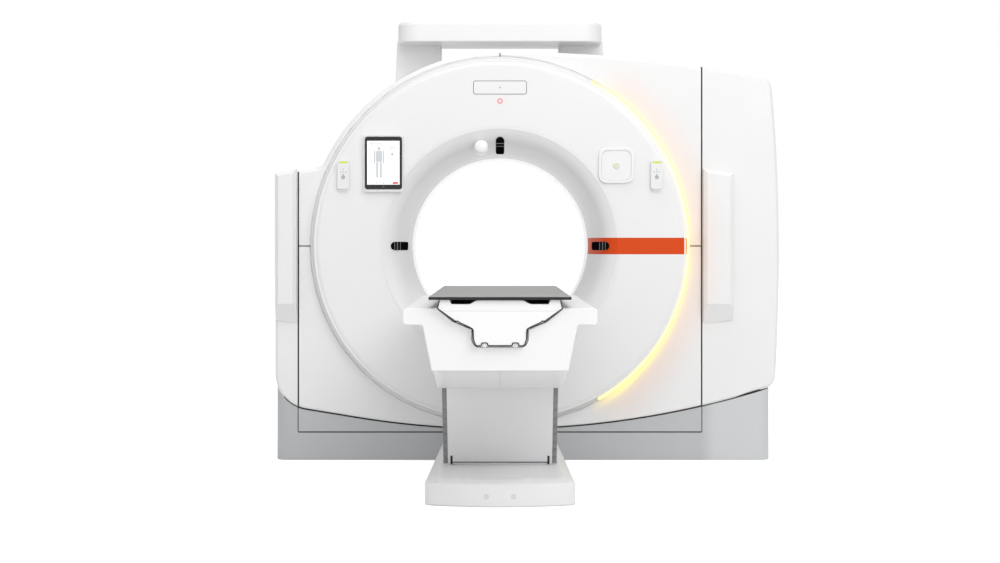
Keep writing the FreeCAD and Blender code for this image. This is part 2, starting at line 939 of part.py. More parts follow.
funnel_rim = dim.mouth_radius + dim.disc_wall * 2
front_hole = flared("front_disc_hole", [(-dim.disc_depth * 2, funnel_rim), (0, funnel_rim)])
front_disc = cut(
    "front_disc",
    disc_block("front_disc_block", 0, dim.disc_depth, dim.disc_skirt),
    many_sided("front_disc_space", dim.disc_rib, DISC_SIDES, dim.disc_wall - dim.disc_depth, dim.disc_depth),
    front_hole,
)
publish(front_disc, "gantry_ring_front")
seat = funnel_rim - dim.groove_fit
front_funnel = cut(
    "front_funnel_cut",
    flared("front_funnel_stock", [
        (-dim.disc_depth, seat),
        (dim.disc_wall - dim.disc_depth, seat),
        *FRONT_BACK[1::-1],
    ]),
    throat_core("front_funnel_core", 0),
)
publish(front_funnel, "bore_funnel_front")

rear_plate = new_body("rear_disc_plate", z=iso)
sketch = new_sketch(rear_plate, "XZ", [mouth_outline(size(0))], lift=-dim.rear_depth)
pad(rear_plate, sketch, dim.rear_depth - dim.front_depth + dim.cover_wall)
rear_rim = dim.rear_mouth + dim.disc_wall * 2
rear_disc = cut(
    "rear_disc",
    rear_plate,
    many_sided("rear_disc_space", dim.disc_rib, DISC_SIDES, 0, dim.rear_depth - dim.disc_wall),
    flared("rear_disc_hole", [(0, rear_rim), (dim.disc_depth * 2, rear_rim)]),
)
publish(rear_disc, "gantry_ring_rear")
seat = rear_rim - dim.groove_fit
rear_funnel = cut(
    "rear_funnel_cut",
    flared("rear_funnel_stock", [
        *REAR_BACK[:0:-1],
        (dim.rear_depth - dim.disc_wall, seat),
        (dim.rear_depth, seat),
    ]),
    flared("rear_funnel_core", [
        (size(0), dim.bore_radius),
        *REAR_THROAT,
        (dim.rear_depth + dim.core_lead, dim.rear_mouth),
    ]),
)
publish(rear_funnel, "bore_funnel_rear")

half = throat_end - dim.window_fit
window_rim = dim.bore_radius + 2 * dim.tunnel_wall
scan_window = cut(
    "scan_window_body",
    flared("scan_window_ring", [(-half, window_rim), (half, window_rim)]),
    flared("scan_window_bore", [(-throat_end, dim.bore_radius), (throat_end, dim.bore_radius)]),
)
publish(scan_window, "scan_window")

# light guide and dark gasket in the groove round the front disc
groove_front = dim.light_recess - dim.front_depth
groove_back = groove_front + dim.guide_thickness
groove_ring = cut(
    "groove_ring",
    mouth_slab("groove_outer", dim.groove_width, groove_front, groove_back),
    mouth_slab("groove_inner", 0, -2 * dim.front_depth, 0),
)
reach = dim.disc_radius * 2
light_zone = new_body("light_zone", z=iso)
sketch = new_sketch(
    light_zone,
    "XZ",
    [[(0, 0), (reach * cosine(dim.light_sweep), -reach * sine(dim.light_sweep)), (reach, 0),
      (reach * cosine(dim.light_sweep), reach * sine(dim.light_sweep))]],
)
pad(light_zone, sketch, far, both=True)
publish(common("light_ring", groove_ring, light_zone), "light_ring")
publish(cut("groove_gasket", groove_ring, light_zone), "groove_gasket")

# skins that lie on the front disc: the accent band and the laser windows


def skin(name, grow, zones):
    """A layer that follows the front disc's face inside the zones."""
    outer = disc_block(name + "_outer", grow, dim.disc_depth, dim.disc_skirt + grow)
    core = throat_core(name + "_core", grow)
    inner = disc_block(name + "_inner", 0, dim.disc_depth, dim.disc_skirt + dim.skin * 4)
    behind = cut(name + "_behind", inner, throat_core(name + "_space", 0))
    return common(name, cut(name + "_layer", outer, core, behind), zones)


laser_half = dim.laser_width / 2
front_y = -dim.disc_depth * 2
band_start = dim.laser_outer + dim.laser_proud
band_zone = box(
    "band_zone",
    (band_start, dim.disc_radius - dim.skin * 2),
    (front_y, dim.disc_bevel - dim.disc_depth),
    (iso - dim.band_height / 2, iso + dim.band_height / 2),
)
publish(skin("accent_band", dim.skin, band_zone), "accent_band")
laser_z = (iso - laser_half, iso + laser_half)
laser_crown = (iso + dim.laser_inner, iso + dim.laser_outer)
laser_zones = fuse(
    "laser_zones",
    box("laser_zone_right", (dim.laser_inner, dim.laser_outer), (front_y, 0), laser_z),
    box("laser_zone_left", (-dim.laser_outer, -dim.laser_inner), (front_y, 0), laser_z),
    box("laser_zone_top", (-laser_half, laser_half), (front_y, 0), laser_crown),
    rod("laser_zone_crown", laser_half, dim.disc_depth * 2, y=front_y, z=iso + dim.laser_outer),
)
publish(skin("laser_windows", dim.laser_proud, laser_zones), "laser_windows")


# --- things on the front disc -------------------------------------------------


def rounded(x, z, width, height, radius):
    """The corners of a rectangle around a place, its corners clipped to a radius."""
    half_x, half_z = size(width) / 2 - radius, size(height) / 2 - radius
    corners = []
    for quarter, (side_x, side_z) in enumerate(((1, 1), (-1, 1), (-1, -1), (1, -1))):
        for step in (0, 1, 2, 3):
            turn = size(90 * quarter + 30 * step)
            u = x + side_x * half_x + radius * cosine(turn)
            v = z + side_z * half_z + radius * sine(turn)
            corners.append((u, v))
    return corners


def face_plate(name, corners, back, thick):
    """A plate whose back lies at a depth in front of the gantry's centre."""
    body = new_body(name, z=iso)
    sketch = new_sketch(body, "XZ", [corners], lift=back)
    pad(body, sketch, thick)
    return body


face = dim.disc_depth
hatch = face_plate(
    "service_hatch",
    rounded(size(0), dim.hatch_level, dim.hatch_width, dim.hatch_height, dim.hatch_round),
    face,
    dim.hatch_proud,
)
publish(hatch, "service_hatch")

status = new_body("status_ring_body", z=iso)
level = dim.status_level
rings = [polygon(size(0), level, radius, PUCK_SIDES) for radius in (dim.status_radius, dim.status_bore)]
pad(status, new_sketch(status, "XZ", rings, lift=face), dim.hatch_proud)
publish(status, "status_ring")

dome = new_body("dome_prism", z=iso)
rings = [polygon(dim.dome_across, dim.dome_level, dim.dome_radius, KEY_SIDES)]
dome_face = dim.dome_front + dim.dome_bulge - dim.dome_skirt
pad(dome, new_sketch(dome, "XZ", rings, lift=dome_face - dim.dome_behind), dim.dome_behind)
bevel(dome, dim.dome_bulge * 3 / 4, flat_at("Y", -dome_face))
publish(common("camera_dome_cut", dome, throat_core("dome_space", 0)), "camera_dome")

dock_front = face + dim.dock_thick
dock = face_plate(
    "tablet_dock",
    rounded(-dim.dock_across, dim.dock_level, dim.dock_width, dim.dock_height, dim.dock_round),
    face,
    dim.dock_thick,
)
tablet_slot = rounded(
    -dim.dock_across,
    dim.dock_level,
    dim.tablet_width + dim.groove_fit * 2,
    dim.tablet_height + dim.groove_fit * 2,
    dim.tablet_round,
)
sketch = new_sketch(dock, "XZ", [tablet_slot], lift=dock_front)
pocket(dock, sketch, dim.tablet_sink)
publish(dock, "tablet_dock")

tablet_front = dock_front - dim.tablet_sink + dim.tablet_thick
tablet = face_plate(
    "tablet",
    rounded(-dim.dock_across, dim.dock_level, dim.tablet_width, dim.tablet_height, dim.tablet_round),
    dock_front - dim.tablet_sink,
    dim.tablet_thick,
)
button_level = dim.dock_level - dim.tablet_height / 2 + dim.home_inset
button_hole = polygon(-dim.dock_across, button_level, dim.home_radius + dim.key_play, KEY_SIDES)
pocket(tablet, new_sketch(tablet, "XZ", [button_hole], lift=tablet_front), dim.home_depth)
publish(tablet, "tablet")

home = new_body("tablet_home_button", z=iso)
home_height = dim.home_depth - dim.home_travel
button = polygon(-dim.dock_across, button_level, dim.home_radius, KEY_SIDES)
pad(home, new_sketch(home, "XZ", [button], lift=tablet_front - home_height), home_height)
publish(home, "tablet_home_button")

plate = face_plate(
    "dock_plate",
    rounded(dim.dock_across, dim.plate_level, dim.plate_size, dim.plate_size, dim.plate_round),
    face,
    dim.plate_thick,
)
inner_plate = rounded(
    dim.dock_across,
    dim.plate_level,
    dim.plate_size - 2 * dim.plate_rim,
    dim.plate_size - 2 * dim.plate_rim,
    dim.plate_round - dim.plate_rim / 2,
)
plate_front = face + dim.plate_thick
sketch = new_sketch(plate, "XZ", [inner_plate], lift=plate_front)
pocket(plate, sketch, dim.puck_height)
puck = polygon(dim.dock_across, dim.plate_level, dim.puck_radius, PUCK_SIDES)
pad(plate, new_sketch(plate, "XZ", [puck], lift=plate_front - dim.puck_height), 2 * dim.puck_height)
publish(plate, "dock_plate")

holder_front = face + dim.holder_wall
remote_front = holder_front + dim.remote_thick - dim.holder_wall
holders, remotes = [], []
for label, side in {"left": -1, "right": 1}.items():
    across = side * dim.remote_across
    outline = rounded(across, dim.remote_level, dim.remote_width, dim.remote_height, dim.remote_round)
    holder_outline = rounded(
        across,
        dim.remote_level - dim.holder_lip / 2,
        dim.remote_width,
        dim.remote_height + dim.holder_lip,
        dim.remote_round,
    )
    holder = face_plate("remote_holder_" + label, holder_outline, face, dim.holder_wall)
    lip_low = dim.remote_level - dim.remote_height / 2 - dim.groove_fit
    lip = [
        (across - dim.remote_width / 3, lip_low - dim.holder_lip / 2),
        (across + dim.remote_width / 3, lip_low - dim.holder_lip / 2),
        (across + dim.remote_width / 3, lip_low),
        (across - dim.remote_width / 3, lip_low),
    ]
    sketch = new_sketch(holder, "XZ", [lip], lift=holder_front)
    pad(holder, sketch, dim.remote_thick / 2)
    holders.append(holder)
    remote = face_plate("remote_" + label, outline, holder_front, dim.remote_thick - dim.holder_wall)
    key_spot = (across, dim.remote_level - dim.key_drop)
    key_hole = polygon(*key_spot, dim.key_radius + dim.key_play, KEY_SIDES)
    pocket(remote, new_sketch(remote, "XZ", [key_hole], lift=remote_front), dim.key_height)
    remotes.append(remote)
    key = new_body("remote_key_" + label, z=iso)
    key_floor = remote_front - dim.key_height + dim.key_travel
    key_ring = polygon(*key_spot, dim.key_radius, KEY_SIDES)
    pad(key, new_sketch(key, "XZ", [key_ring], lift=key_floor), dim.key_height)
    publish(key, "remote_key_" + label)
publish(fuse("remote_holders_both", *holders), "remote_holders")
publish(fuse("remotes_both", *remotes), "remotes")

# --- plinth and bridge --------------------------------------------------------

plinth_half = dim.front_depth - dim.plinth_recess
plinth_high = dim.belly_low + 2 * dim.kick_seam


def plinth_prism(name, inset, top):
    """The plinth's plan, inset, as a prism up to a height."""
    inset = size(inset)
    left, right = inset - dim.plinth_left, dim.plinth_right - inset
    half = plinth_half - inset
    turn = dim.plinth_round - inset
    body = new_body(name)
    corners = [(left, -half, turn), (right, -half, turn), (right, half, turn), (left, half, turn)]
    sketch = new_sketch(body, "XY", [corners])
    pad(body, sketch, top)
    return body


wall = dim.cover_wall
plinth_shell = cut(
    "plinth_shell",
    plinth_prism("plinth_block", 0, plinth_high),
    plinth_prism("plinth_space", wall, plinth_high),
    gantry_block("plinth_limit", -dim.groove_fit, False),
)
kick_zone = box("kick_zone", (-seam, seam), (-far, far), (kick - half_gap, far))
seal_room = box("seal_room", (-(seam + gap), seam + gap), (-far, 0), (kick - half_gap, far))
publish(cut("plinth_cut", plinth_shell, kick_zone, seal_room), "plinth")
kick_fit = dim.groove_fit
kick_zones = fuse(
    "kick_zones",
    box("kick_area_front", (-seam, seam), (-far, 0), (kick + half_gap, far)),
    box("kick_area_rear", (kick_fit - seam, seam - kick_fit), (0, far), (kick + kick_fit - half_gap, far)),
)
publish(common("kick_panels_cut", plinth_shell, kick_zones), "kick_panels")

bridge_half = dim.bridge_width / 2
beam = new_body("bridge_beam")
edge = dim.bridge_round
corners = [
    (-bridge_half, dim.bridge_front, edge),
    (bridge_half, dim.bridge_front, edge),
    (bridge_half, dim.bridge_back, edge),
    (-bridge_half, dim.bridge_back, edge),
]
sketch = new_sketch(beam, "XY", [corners], lift=dim.bridge_underside)
pad(beam, sketch, dim.bridge_top - dim.bridge_underside)
bevel(beam, dim.bridge_edge, flat_at("Z", dim.bridge_top))
leg_back = dim.bridge_back - dim.bridge_lip
leg_z = (dim.iso_height + dim.right_top / 2, dim.bridge_underside + dim.bridge_lip)
legs = [
    box("bridge_leg_" + label, across, (dim.bridge_leg_front, leg_back), leg_z)
    for label, across in {
        "left": (-dim.bridge_leg_outer, -dim.bridge_gap_half),
        "right": (dim.bridge_gap_half, dim.bridge_leg_outer),
    }.items()
]
bridge_wall = dim.cover_wall
beam_space = box(
    "bridge_space",
    (bridge_wall * 2 - bridge_half, bridge_half - bridge_wall * 2),
    (dim.bridge_leg_front + bridge_wall, leg_back - bridge_wall),
    (dim.bridge_underside + bridge_wall, dim.bridge_top - bridge_wall * 2),
)
leg_spaces = [
    box("leg_space_" + label, across, (dim.bridge_leg_front + bridge_wall, leg_back - bridge_wall),
        (dim.iso_height, dim.bridge_top - bridge_wall * 2))
    for label, across in {
        "left": (bridge_wall - dim.bridge_leg_outer, -dim.bridge_gap_half - bridge_wall),
        "right": (dim.bridge_gap_half + bridge_wall, dim.bridge_leg_outer - bridge_wall),
    }.items()
]
bridge = cut("bridge", fuse("bridge_solid", beam, *legs), block, beam_space, *leg_spaces)
publish(bridge, "top_bridge")

# --- steel and turning parts inside -------------------------------------------

rail = dim.floor_rail
base_solid = box(
    "base_solid",
    (rail + wall - dim.plinth_left, dim.plinth_right - wall - rail),
    (rail - plinth_half, plinth_half - rail),
    (0, rail),
)
base_bays = [
    box("base_bay_" + label, across, (2 * rail - plinth_half, dim.stator_front - rail), (-rail, 2 * rail))
    for label, across in {
        "left": (3 * rail - dim.plinth_left, -2 * rail),
        "right": (2 * rail, dim.plinth_right - 3 * rail),
    }.items()
]
base_frame = cut("base_frame", base_solid, *base_bays)

stator_back = dim.stator_front + dim.stator_thick
stator_outer = dim.rim_radius - dim.cover_wall - dim.groove_fit
stator_plate = many_sided("stator_plate", stator_outer, STATOR_SIDES, dim.stator_front, stator_back)
stator_foot = box(
    "stator_foot",
    (-dim.motor_room, dim.motor_room),
    (dim.stator_front, stator_back),
    (rail, iso - dim.bearing_outer / 3),
)
stator_top = box("stator_top", (-far, far), (-far, far), (iso - dim.disc_chin / 2, far))
stator = cut(
    "stator_cut",
    fuse("stator_solid", common("stator_ring", stator_plate, stator_top), stator_foot),
    many_sided("stator_hole", dim.bearing_outer + dim.groove_fit, RING_SIDES, 0, far),
)
publish(fuse("gantry_frame_all", base_frame, stator), "gantry_frame")

bearing_end = dim.stator_front + dim.bearing_width
bearing_bore = dim.bearing_radius + dim.bearing_play
bearing = many_sided(
    "main_bearing_body", dim.bearing_outer, RING_SIDES, dim.stator_front, bearing_end, bearing_bore
)
publish(bearing, "main_bearing")

flange_back = dim.drum_front + dim.drum_thick
drum = new_body("rotor_drum_body", y=dim.drum_front, z=iso)
centre = (size(0), size(0))
drum_hole = polygon(*centre, dim.drum_inner, RING_SIDES)
sketch = new_sketch(drum, "XZ", [drum_hole], [(0, 0, dim.drum_radius)])
pad(drum, sketch, dim.drum_thick, back=True)
hub = new_sketch(
    drum,
    "XZ",
    [polygon(*centre, dim.hub_inner, RING_SIDES)],
    [(0, 0, dim.bearing_radius)],
    lift=-dim.drum_thick,
)
pad(drum, hub, dim.hub_end - flange_back, back=True)
publish(drum, "rotor_drum")

slip = new_body("slip_ring_body", y=flange_back, z=iso)
rings = [
    polygon(*centre, dim.hub_inner - dim.groove_fit, RING_SIDES),
    polygon(*centre, dim.slip_ring_inner, RING_SIDES),
]
pad(slip, new_sketch(slip, "XZ", rings), dim.slip_ring_width, back=True)
publish(slip, "slip_ring")
brush_low = iso + dim.bore_radius + 4 * dim.tunnel_wall
brush_high = iso + dim.slip_ring_inner * cosine(size(180 / RING_SIDES)) - dim.brush_gap / 4
across = (-dim.brush_half, dim.brush_half)
back_y = (dim.hub_end + dim.brush_gap, dim.hub_end + dim.brush_reach)
foot_z = (iso + dim.bearing_outer + dim.brush_gap, iso + dim.bearing_outer + rail)
brush = fuse(
    "brush_block_all",
    box("brush_tip", across, (flange_back + dim.brush_gap, back_y[1]), (brush_low, brush_high)),
    box("brush_arm", across, back_y, (brush_low, foot_z[1])),
    box("brush_foot", across, (stator_back, back_y[1]), foot_z),
)
publish(brush, "brush_block")

front_of_drum = dim.drum_front
tube = new_body("xray_tube_body", z=iso)
tube_ring = polygon(size(0), dim.tube_orbit, dim.tube_radius, TUBE_SIDES)
tube_front = dim.tube_length - front_of_drum
pad(tube, new_sketch(tube, "XZ", [tube_ring], lift=tube_front), dim.tube_length, back=True)
publish(tube, "xray_tube")
tube_low = dim.tube_orbit - dim.tube_radius * cosine(size(180 / TUBE_SIDES))
collimator = cut(
    "collimator_cut",
    box(
        "collimator_solid",
        (-dim.collimator_width / 2, dim.collimator_width / 2),
        (front_of_drum - dim.collimator_length, front_of_drum),
        (iso + dim.drum_inner + wall, iso + tube_low),
    ),
    box(
        "beam_slot",
        (-dim.collimator_width / 3, dim.collimator_width / 3),
        (-throat_end, throat_end),
        (0, far),
    ),
)
publish(collimator, "collimator")

detector_zone = new_body("detector_zone", z=iso)
sweep = dim.detector_sweep / 2
sketch = new_sketch(
    detector_zone,
    "XZ",
    [[(0, 0), (-reach * sine(sweep), -reach * cosine(sweep)), (reach * sine(sweep), -reach * cosine(sweep))]],
)
pad(detector_zone, sketch, far, both=True)
detector_ring = new_body("detector_ring", y=front_of_drum - dim.detector_length, z=iso)
rings = [polygon(*centre, radius, DETECTOR_SIDES) for radius in (dim.detector_inner, dim.detector_outer)]
pad(detector_ring, new_sketch(detector_ring, "XZ", rings), dim.detector_length, back=True)
publish(common("detector_cut", detector_ring, detector_zone), "detector_arc")

generator_half = dim.generator_height / 2
generator = box(
    "hv_generator_body",
    (-(dim.generator_inner + dim.generator_width), -dim.generator_inner),
    (front_of_drum - dim.generator_length, front_of_drum),
    (iso - generator_half, iso + generator_half),
)
publish(generator, "hv_generator")
cooler = box(
    "tube_cooler_body",
    (dim.generator_inner, dim.generator_inner + dim.generator_width),
    (front_of_drum - dim.generator_length, front_of_drum),
    (iso - generator_half, iso + generator_half),
)
publish(cooler, "tube_cooler")

motor_orbit = dim.drum_radius + dim.wheel_radius + dim.wheel_play
motor_x = motor_orbit * cosine(dim.motor_angle)
motor_z = iso - motor_orbit * sine(dim.motor_angle)
motor_front = flange_back + dim.motor_gap
motor = new_body("drive_motor_body", motor_x, dim.stator_front, motor_z)
motor_rings = [polygon(*centre, dim.motor_radius, KEY_SIDES)]
pad(motor, new_sketch(motor, "XZ", motor_rings), dim.stator_front - motor_front)
shaft_hole = new_sketch(
    motor, "XZ", circles=[(0, 0, dim.wheel_shaft + dim.wheel_play)], lift=dim.stator_front - motor_front
)
pocket(motor, shaft_hole, dim.stator_front - motor_front - dim.motor_wall)
publish(motor, "drive_motor")
wheel = new_body("drive_wheel_body", motor_x, dim.drum_front, motor_z)
wheel_ring = polygon(*centre, dim.wheel_radius, WHEEL_SIDES)
pad(wheel, new_sketch(wheel, "XZ", [wheel_ring]), dim.drum_thick, back=True)
shaft = new_sketch(wheel, "XZ", [polygon(*centre, dim.wheel_shaft, KEY_SIDES)], lift=-dim.drum_thick)
pad(wheel, shaft, dim.motor_gap * 4, back=True)
publish(wheel, "drive_wheel")

# --- table base ----------------------------------------------------------------

rear_y = -dim.table_rear


def base_plan(inset):
    """The plan of the table's base, inset."""
    inset = size(inset)
    half, rear = dim.base_half - inset, dim.base_rear_half - inset
    nose, front = dim.base_nose_half, inset - dim.base_front
    shoulder = inset - dim.base_shoulder
    return [
        (-rear, rear_y - inset * dim.base_back_lean),
        (-half, shoulder, dim.base_corner - inset),
        (-nose, front),
        (nose, front),
        (half, shoulder, dim.base_corner - inset),
        (rear, rear_y - inset * dim.base_back_lean),
    ]


def base_profile(inset):
    """The side profile that slopes the base's top down to its nose, inset."""
    inset = size(inset)
    front = -dim.base_front - rail
    return [
        (front, -1),
        (rail + rear_y, -1),
        (rail + rear_y, dim.base_top - inset),
        (-dim.base_slope_start, dim.base_top - inset),
        (front, dim.base_nose_height - inset),
    ]


def base_prism(name, inset):
    """The base as the plan's prism under the side profile."""
    plan = new_body(name + "_plan")
    low = -1 if size(inset).value else 0
    pad(plan, new_sketch(plan, "XY", [base_plan(inset)], lift=low), 2 * dim.base_top)
    side = new_body(name + "_side")
    pad(side, new_sketch(side, "YZ", [base_profile(inset)]), far, both=True)
    return common(name, plan, side)


def mirrored(low, high, side):
    """A range across, or its mirror image where side is negative."""
    return (low, high) if side > 0 else (-high, -low)


BLOCKS = {"front": dim.arm_foot_y, "rear": dim.arm_foot_y + dim.arm_spacing}
fit = dim.groove_fit
block_rooms = [
    box(
        f"block_room_{label}_{hand}",
        mirrored(dim.block_inner - fit, dim.block_outer + fit, hand),
        (y + dim.block_heel - fit, y + dim.block_heel + dim.block_depth + fit),
        (0, far),
    )
    for label, y in BLOCKS.items()
    for hand in (1, -1)
]
base_cover = cut(
    "base_cover_cut",
    base_prism("base_stock", 0),
    base_prism("base_space", dim.base_wall),
    *block_rooms,
)
publish(base_cover, "table_base_cover")

plate_half = dim.base_rear_half - 2 * dim.base_wall
base_plate = box(
    "base_plate_solid",
    (-plate_half, plate_half),
    (-dim.base_shoulder + rail, rear_y - rail),
    (0, dim.base_plate),
)
publish(base_plate, "table_base_plate")

pivots = []
for label, y in BLOCKS.items():
    for hand, side in {"left": -1, "right": 1}.items():
        inner, outer = side * dim.block_inner, side * dim.block_outer
        bearing = new_body(f"pivot_block_{label}_{hand}", (inner + outer) / 2, y, dim.arm_foot_z)
        nose = dim.block_nose
        heel, toe = dim.block_heel + dim.block_depth, dim.block_heel
        low = dim.base_plate - dim.arm_foot_z
        corners = [
            (toe, low),
            (heel, low),
            (heel, 0),
            (toe, nose),
            (0, nose),
            (-nose * 3 / 4, nose / 2),
            (-nose, 0),
            (-nose * 3 / 4, -nose / 2),
            (0, -nose),
            (toe, -nose),
        ]
        pad(bearing, new_sketch(bearing, "YZ", [corners]), dim.block_outer - dim.block_inner, both=True)
        pivots.append(bearing)
    pin = rod(
        "foot_pin_" + label, dim.pin_radius, 2 * dim.block_inner, -dim.block_inner, y, dim.arm_foot_z, "X"
    )
    pivots.append(pin)
publish(fuse("foot_pivots_all", *pivots), "foot_pivots")

gear = new_body("lift_motor_body", 0, dim.arm_foot_y, dim.arm_foot_z)
pin_fit = dim.pin_radius + dim.pin_play
sketch = new_sketch(gear, "YZ", [polygon(*centre, dim.gear_radius, KEY_SIDES)], [(0, 0, pin_fit)])
pad(gear, sketch, 2 * dim.gear_half, both=True)
publish(gear, "lift_motor")

# --- swing arms ------------------------------------------------------------------


def leaning(name, y):
    """A body that leans with the swing arms, from a foot pin."""
    body = new_body(name, 0, y, dim.arm_foot_z)
    body.Placement = FreeCAD.Placement(body.Placement.Base, FreeCAD.Rotation(FreeCAD.Vector(1, 0, 0), 1))
    drive(body, "Placement.Rotation.Angle", dim.arm_lean)
    return body


def swing_arm(name, y, head_play, rib_reach):
    """Two links and the web between them."""
    body = leaning(name, y)
    half = dim.arm_half
    length = dim.arm_length
    clip = dim.link_clip
    corners = [
        (clip - half, -half),
        (half - clip, -half),
        (half, clip - half),
        (half, length + half - clip),
        (half - clip, length + half),
        (clip - half, length + half),
        (-half, length + half - clip),
        (-half, clip - half),
    ]
    for side in (1, -1):
        holes = [(0, 0, dim.pin_radius + dim.pin_play), (0, length, dim.pin_radius + head_play)]
        lift = dim.arm_inner if side > 0 else -dim.arm_outer
        pad(body, new_sketch(body, "YZ", [corners], holes, lift), dim.arm_outer - dim.arm_inner)
    web_half = dim.web_thick / 2
    web = [(-web_half, dim.arm_web_low), (web_half, dim.arm_web_low),
           (web_half, dim.arm_web_high), (-web_half, dim.arm_web_high)]
    pad(body, new_sketch(body, "YZ", [web]), 2 * dim.arm_inner, both=True)
    if rib_reach:
        low, high = dim.arm_web_low, dim.arm_web_high
        rib = [(-rib_reach, low), (0, low), (0, high), (-rib_reach, high)]
        for side in (1, -1):
            lift = dim.arm_inner - dim.web_thick if side > 0 else -dim.arm_inner
            pad(body, new_sketch(body, "YZ", [rib], lift=lift), dim.web_thick)
    return body


panel_back = dim.panel_offset - dim.panel_thick
publish(swing_arm("swing_arm_front", BLOCKS["front"], dim.pin_play, panel_back), "swing_arm_front")
publish(swing_arm("swing_arm_rear", BLOCKS["rear"], dim.open_play, None), "swing_arm_rear")

panel = leaning("column_panel", BLOCKS["front"])
corners = [
    (-dim.panel_half, dim.panel_foot),
    (dim.panel_half, dim.panel_foot),
    (dim.panel_half, dim.panel_head),
    (-dim.panel_half, dim.panel_head),
]
pad(panel, new_sketch(panel, "XZ", [corners], lift=panel_back), dim.panel_thick)
publish(panel, "column_panel")

gaiters = []
for label, side in {"left": -1, "right": 1}.items():
    gaiter = leaning("side_gaiter_" + label, BLOCKS["front"])
    front, back = -(dim.panel_offset - dim.groove_fit * 2), dim.gaiter_back
    pitch = (dim.gaiter_head - dim.gaiter_foot) / dim.pleat_count
    count = int(dim.pleat_count.value)
    left = [
        (front + (dim.pleat_fold if i % 2 else 0), dim.gaiter_foot + pitch * i) for i in range(count + 1)
    ]
    right = [
        (back - (dim.pleat_fold if i % 2 else 0), dim.gaiter_foot + pitch * i) for i in range(count + 1)
    ]
    start = dim.panel_half + dim.groove_fit
    lift = start if side > 0 else -(start + dim.gaiter_width)
    pad(gaiter, new_sketch(gaiter, "YZ", [right + left[::-1]], lift=lift), dim.gaiter_width)
    gaiters.append(gaiter)
publish(fuse("side_gaiters_both", *gaiters), "side_gaiters")

# --- upper table ------------------------------------------------------------------

head_y = dim.arm_foot_y - dim.arm_length * sine(dim.arm_lean)
head_z = dim.arm_foot_z + dim.arm_length * cosine(dim.arm_lean)


def lengthways(name, halves, front, rear):
    """A symmetric cross-section, given bottom to top, drawn out along Y."""
    right = [(size(p[0]), *p[1:]) for p in halves]
    left = [(-p[0], *p[1:3]) for p in reversed(right) if p[0].value > 0]
    body = new_body(name)
    sketch = new_sketch(body, "XZ", [right + left], lift=size(front))
    pad(body, sketch, size(front) - size(rear), back=True)
    return body


flange_low = dim.flange_top - dim.flange_thick
housing_stock = lengthways(
    "housing_stock",
    [
        (dim.tub_low_half, dim.tub_low),
        (dim.tub_top_half, flange_low),
        (dim.flange_half, flange_low, dim.flange_round),
        (dim.flange_half, dim.flange_top, dim.flange_round),
    ],
    dim.housing_front,
    dim.housing_rear,
)
space = dim.cradle_gap
floor_level = dim.carriage_low - space
roof_level = floor_level - dim.tub_wall
shelf = dim.keel_level - space - dim.tub_wall
inner_low = dim.tub_low_half - dim.tub_wall
housing_space = lengthways(
    "housing_space",
    [
        (inner_low, dim.tub_low - 1),
        (dim.tub_top_half - 2 * dim.tub_wall, shelf),
        (dim.carriage_top_half + space + dim.tub_wall, shelf),
        (dim.carriage_top_half + space + dim.tub_wall, roof_level),
    ],
    dim.housing_front - dim.tub_wall,
    dim.housing_rear + dim.tub_wall,
)
side_bays = [
    box(
        "flange_bay_" + label,
        across,
        (dim.tub_wall - dim.housing_front, -dim.housing_rear - dim.tub_wall),
        (flange_low - 1, dim.flange_top - dim.tub_wall),
    )
    for label, across in {
        "left": (2 * dim.tub_wall - dim.flange_half, -dim.tub_top_half - dim.tub_wall),
        "right": (dim.tub_top_half + dim.tub_wall, dim.flange_half - 2 * dim.tub_wall),
    }.items()
]
channel = lengthways(
    "cradle_channel",
    [
        (dim.carriage_low_half + space, floor_level, dim.carriage_round + space),
        (dim.carriage_top_half + space, dim.keel_level - dim.carriage_top_drop),
        (dim.carriage_top_half + space, dim.keel_level - space),
        (dim.keel_half + space / 2, dim.keel_level - space),
        (dim.hull_half + space, dim.hull_knee - space),
        (dim.cradle_half + space, dim.cradle_widest - space / 2),
        (dim.cradle_half + space, dim.cradle_top + rail),
    ],
    2 * dim.housing_front,
    0,
)
housing = cut("housing", housing_stock, housing_space, channel, *side_bays)
publish(housing, "table_housing")

belly_side = [
    (-dim.housing_front, dim.tub_low),
    (-dim.belly_front, dim.belly_level),
    (-dim.belly_rear, dim.belly_level),
    (-dim.housing_rear, dim.tub_low),
]
wall_step = dim.belly_step
belly_room = [
    (wall_step - dim.housing_front, dim.tub_low + 1),
    (-dim.belly_front, dim.belly_level + dim.tub_wall),
    (-dim.belly_front, dim.belly_level - 1),
    (-dim.belly_rear, dim.belly_level - 1),
    (-dim.belly_rear, dim.belly_level + dim.tub_wall),
    (-dim.housing_rear - wall_step / 2, dim.tub_low + 1),
]
split = dim.groove_fit / 2
bellies = []
for label, side in {"left": -1, "right": 1}.items():
    outer = new_body("belly_outer_" + label)
    lift = split if side > 0 else -dim.belly_half
    pad(outer, new_sketch(outer, "YZ", [belly_side[::-1]], lift=lift), dim.belly_half - split)
    room = new_body("belly_room_" + label)
    lift = -1 if side > 0 else dim.tub_wall - dim.belly_half
    pad(room, new_sketch(room, "YZ", [belly_room[::-1]], lift=lift), dim.belly_half - dim.tub_wall + 1)
    bellies.append(cut("housing_belly_" + label, outer, room))
publish(fuse("housing_bellies_both", *bellies), "housing_bellies")

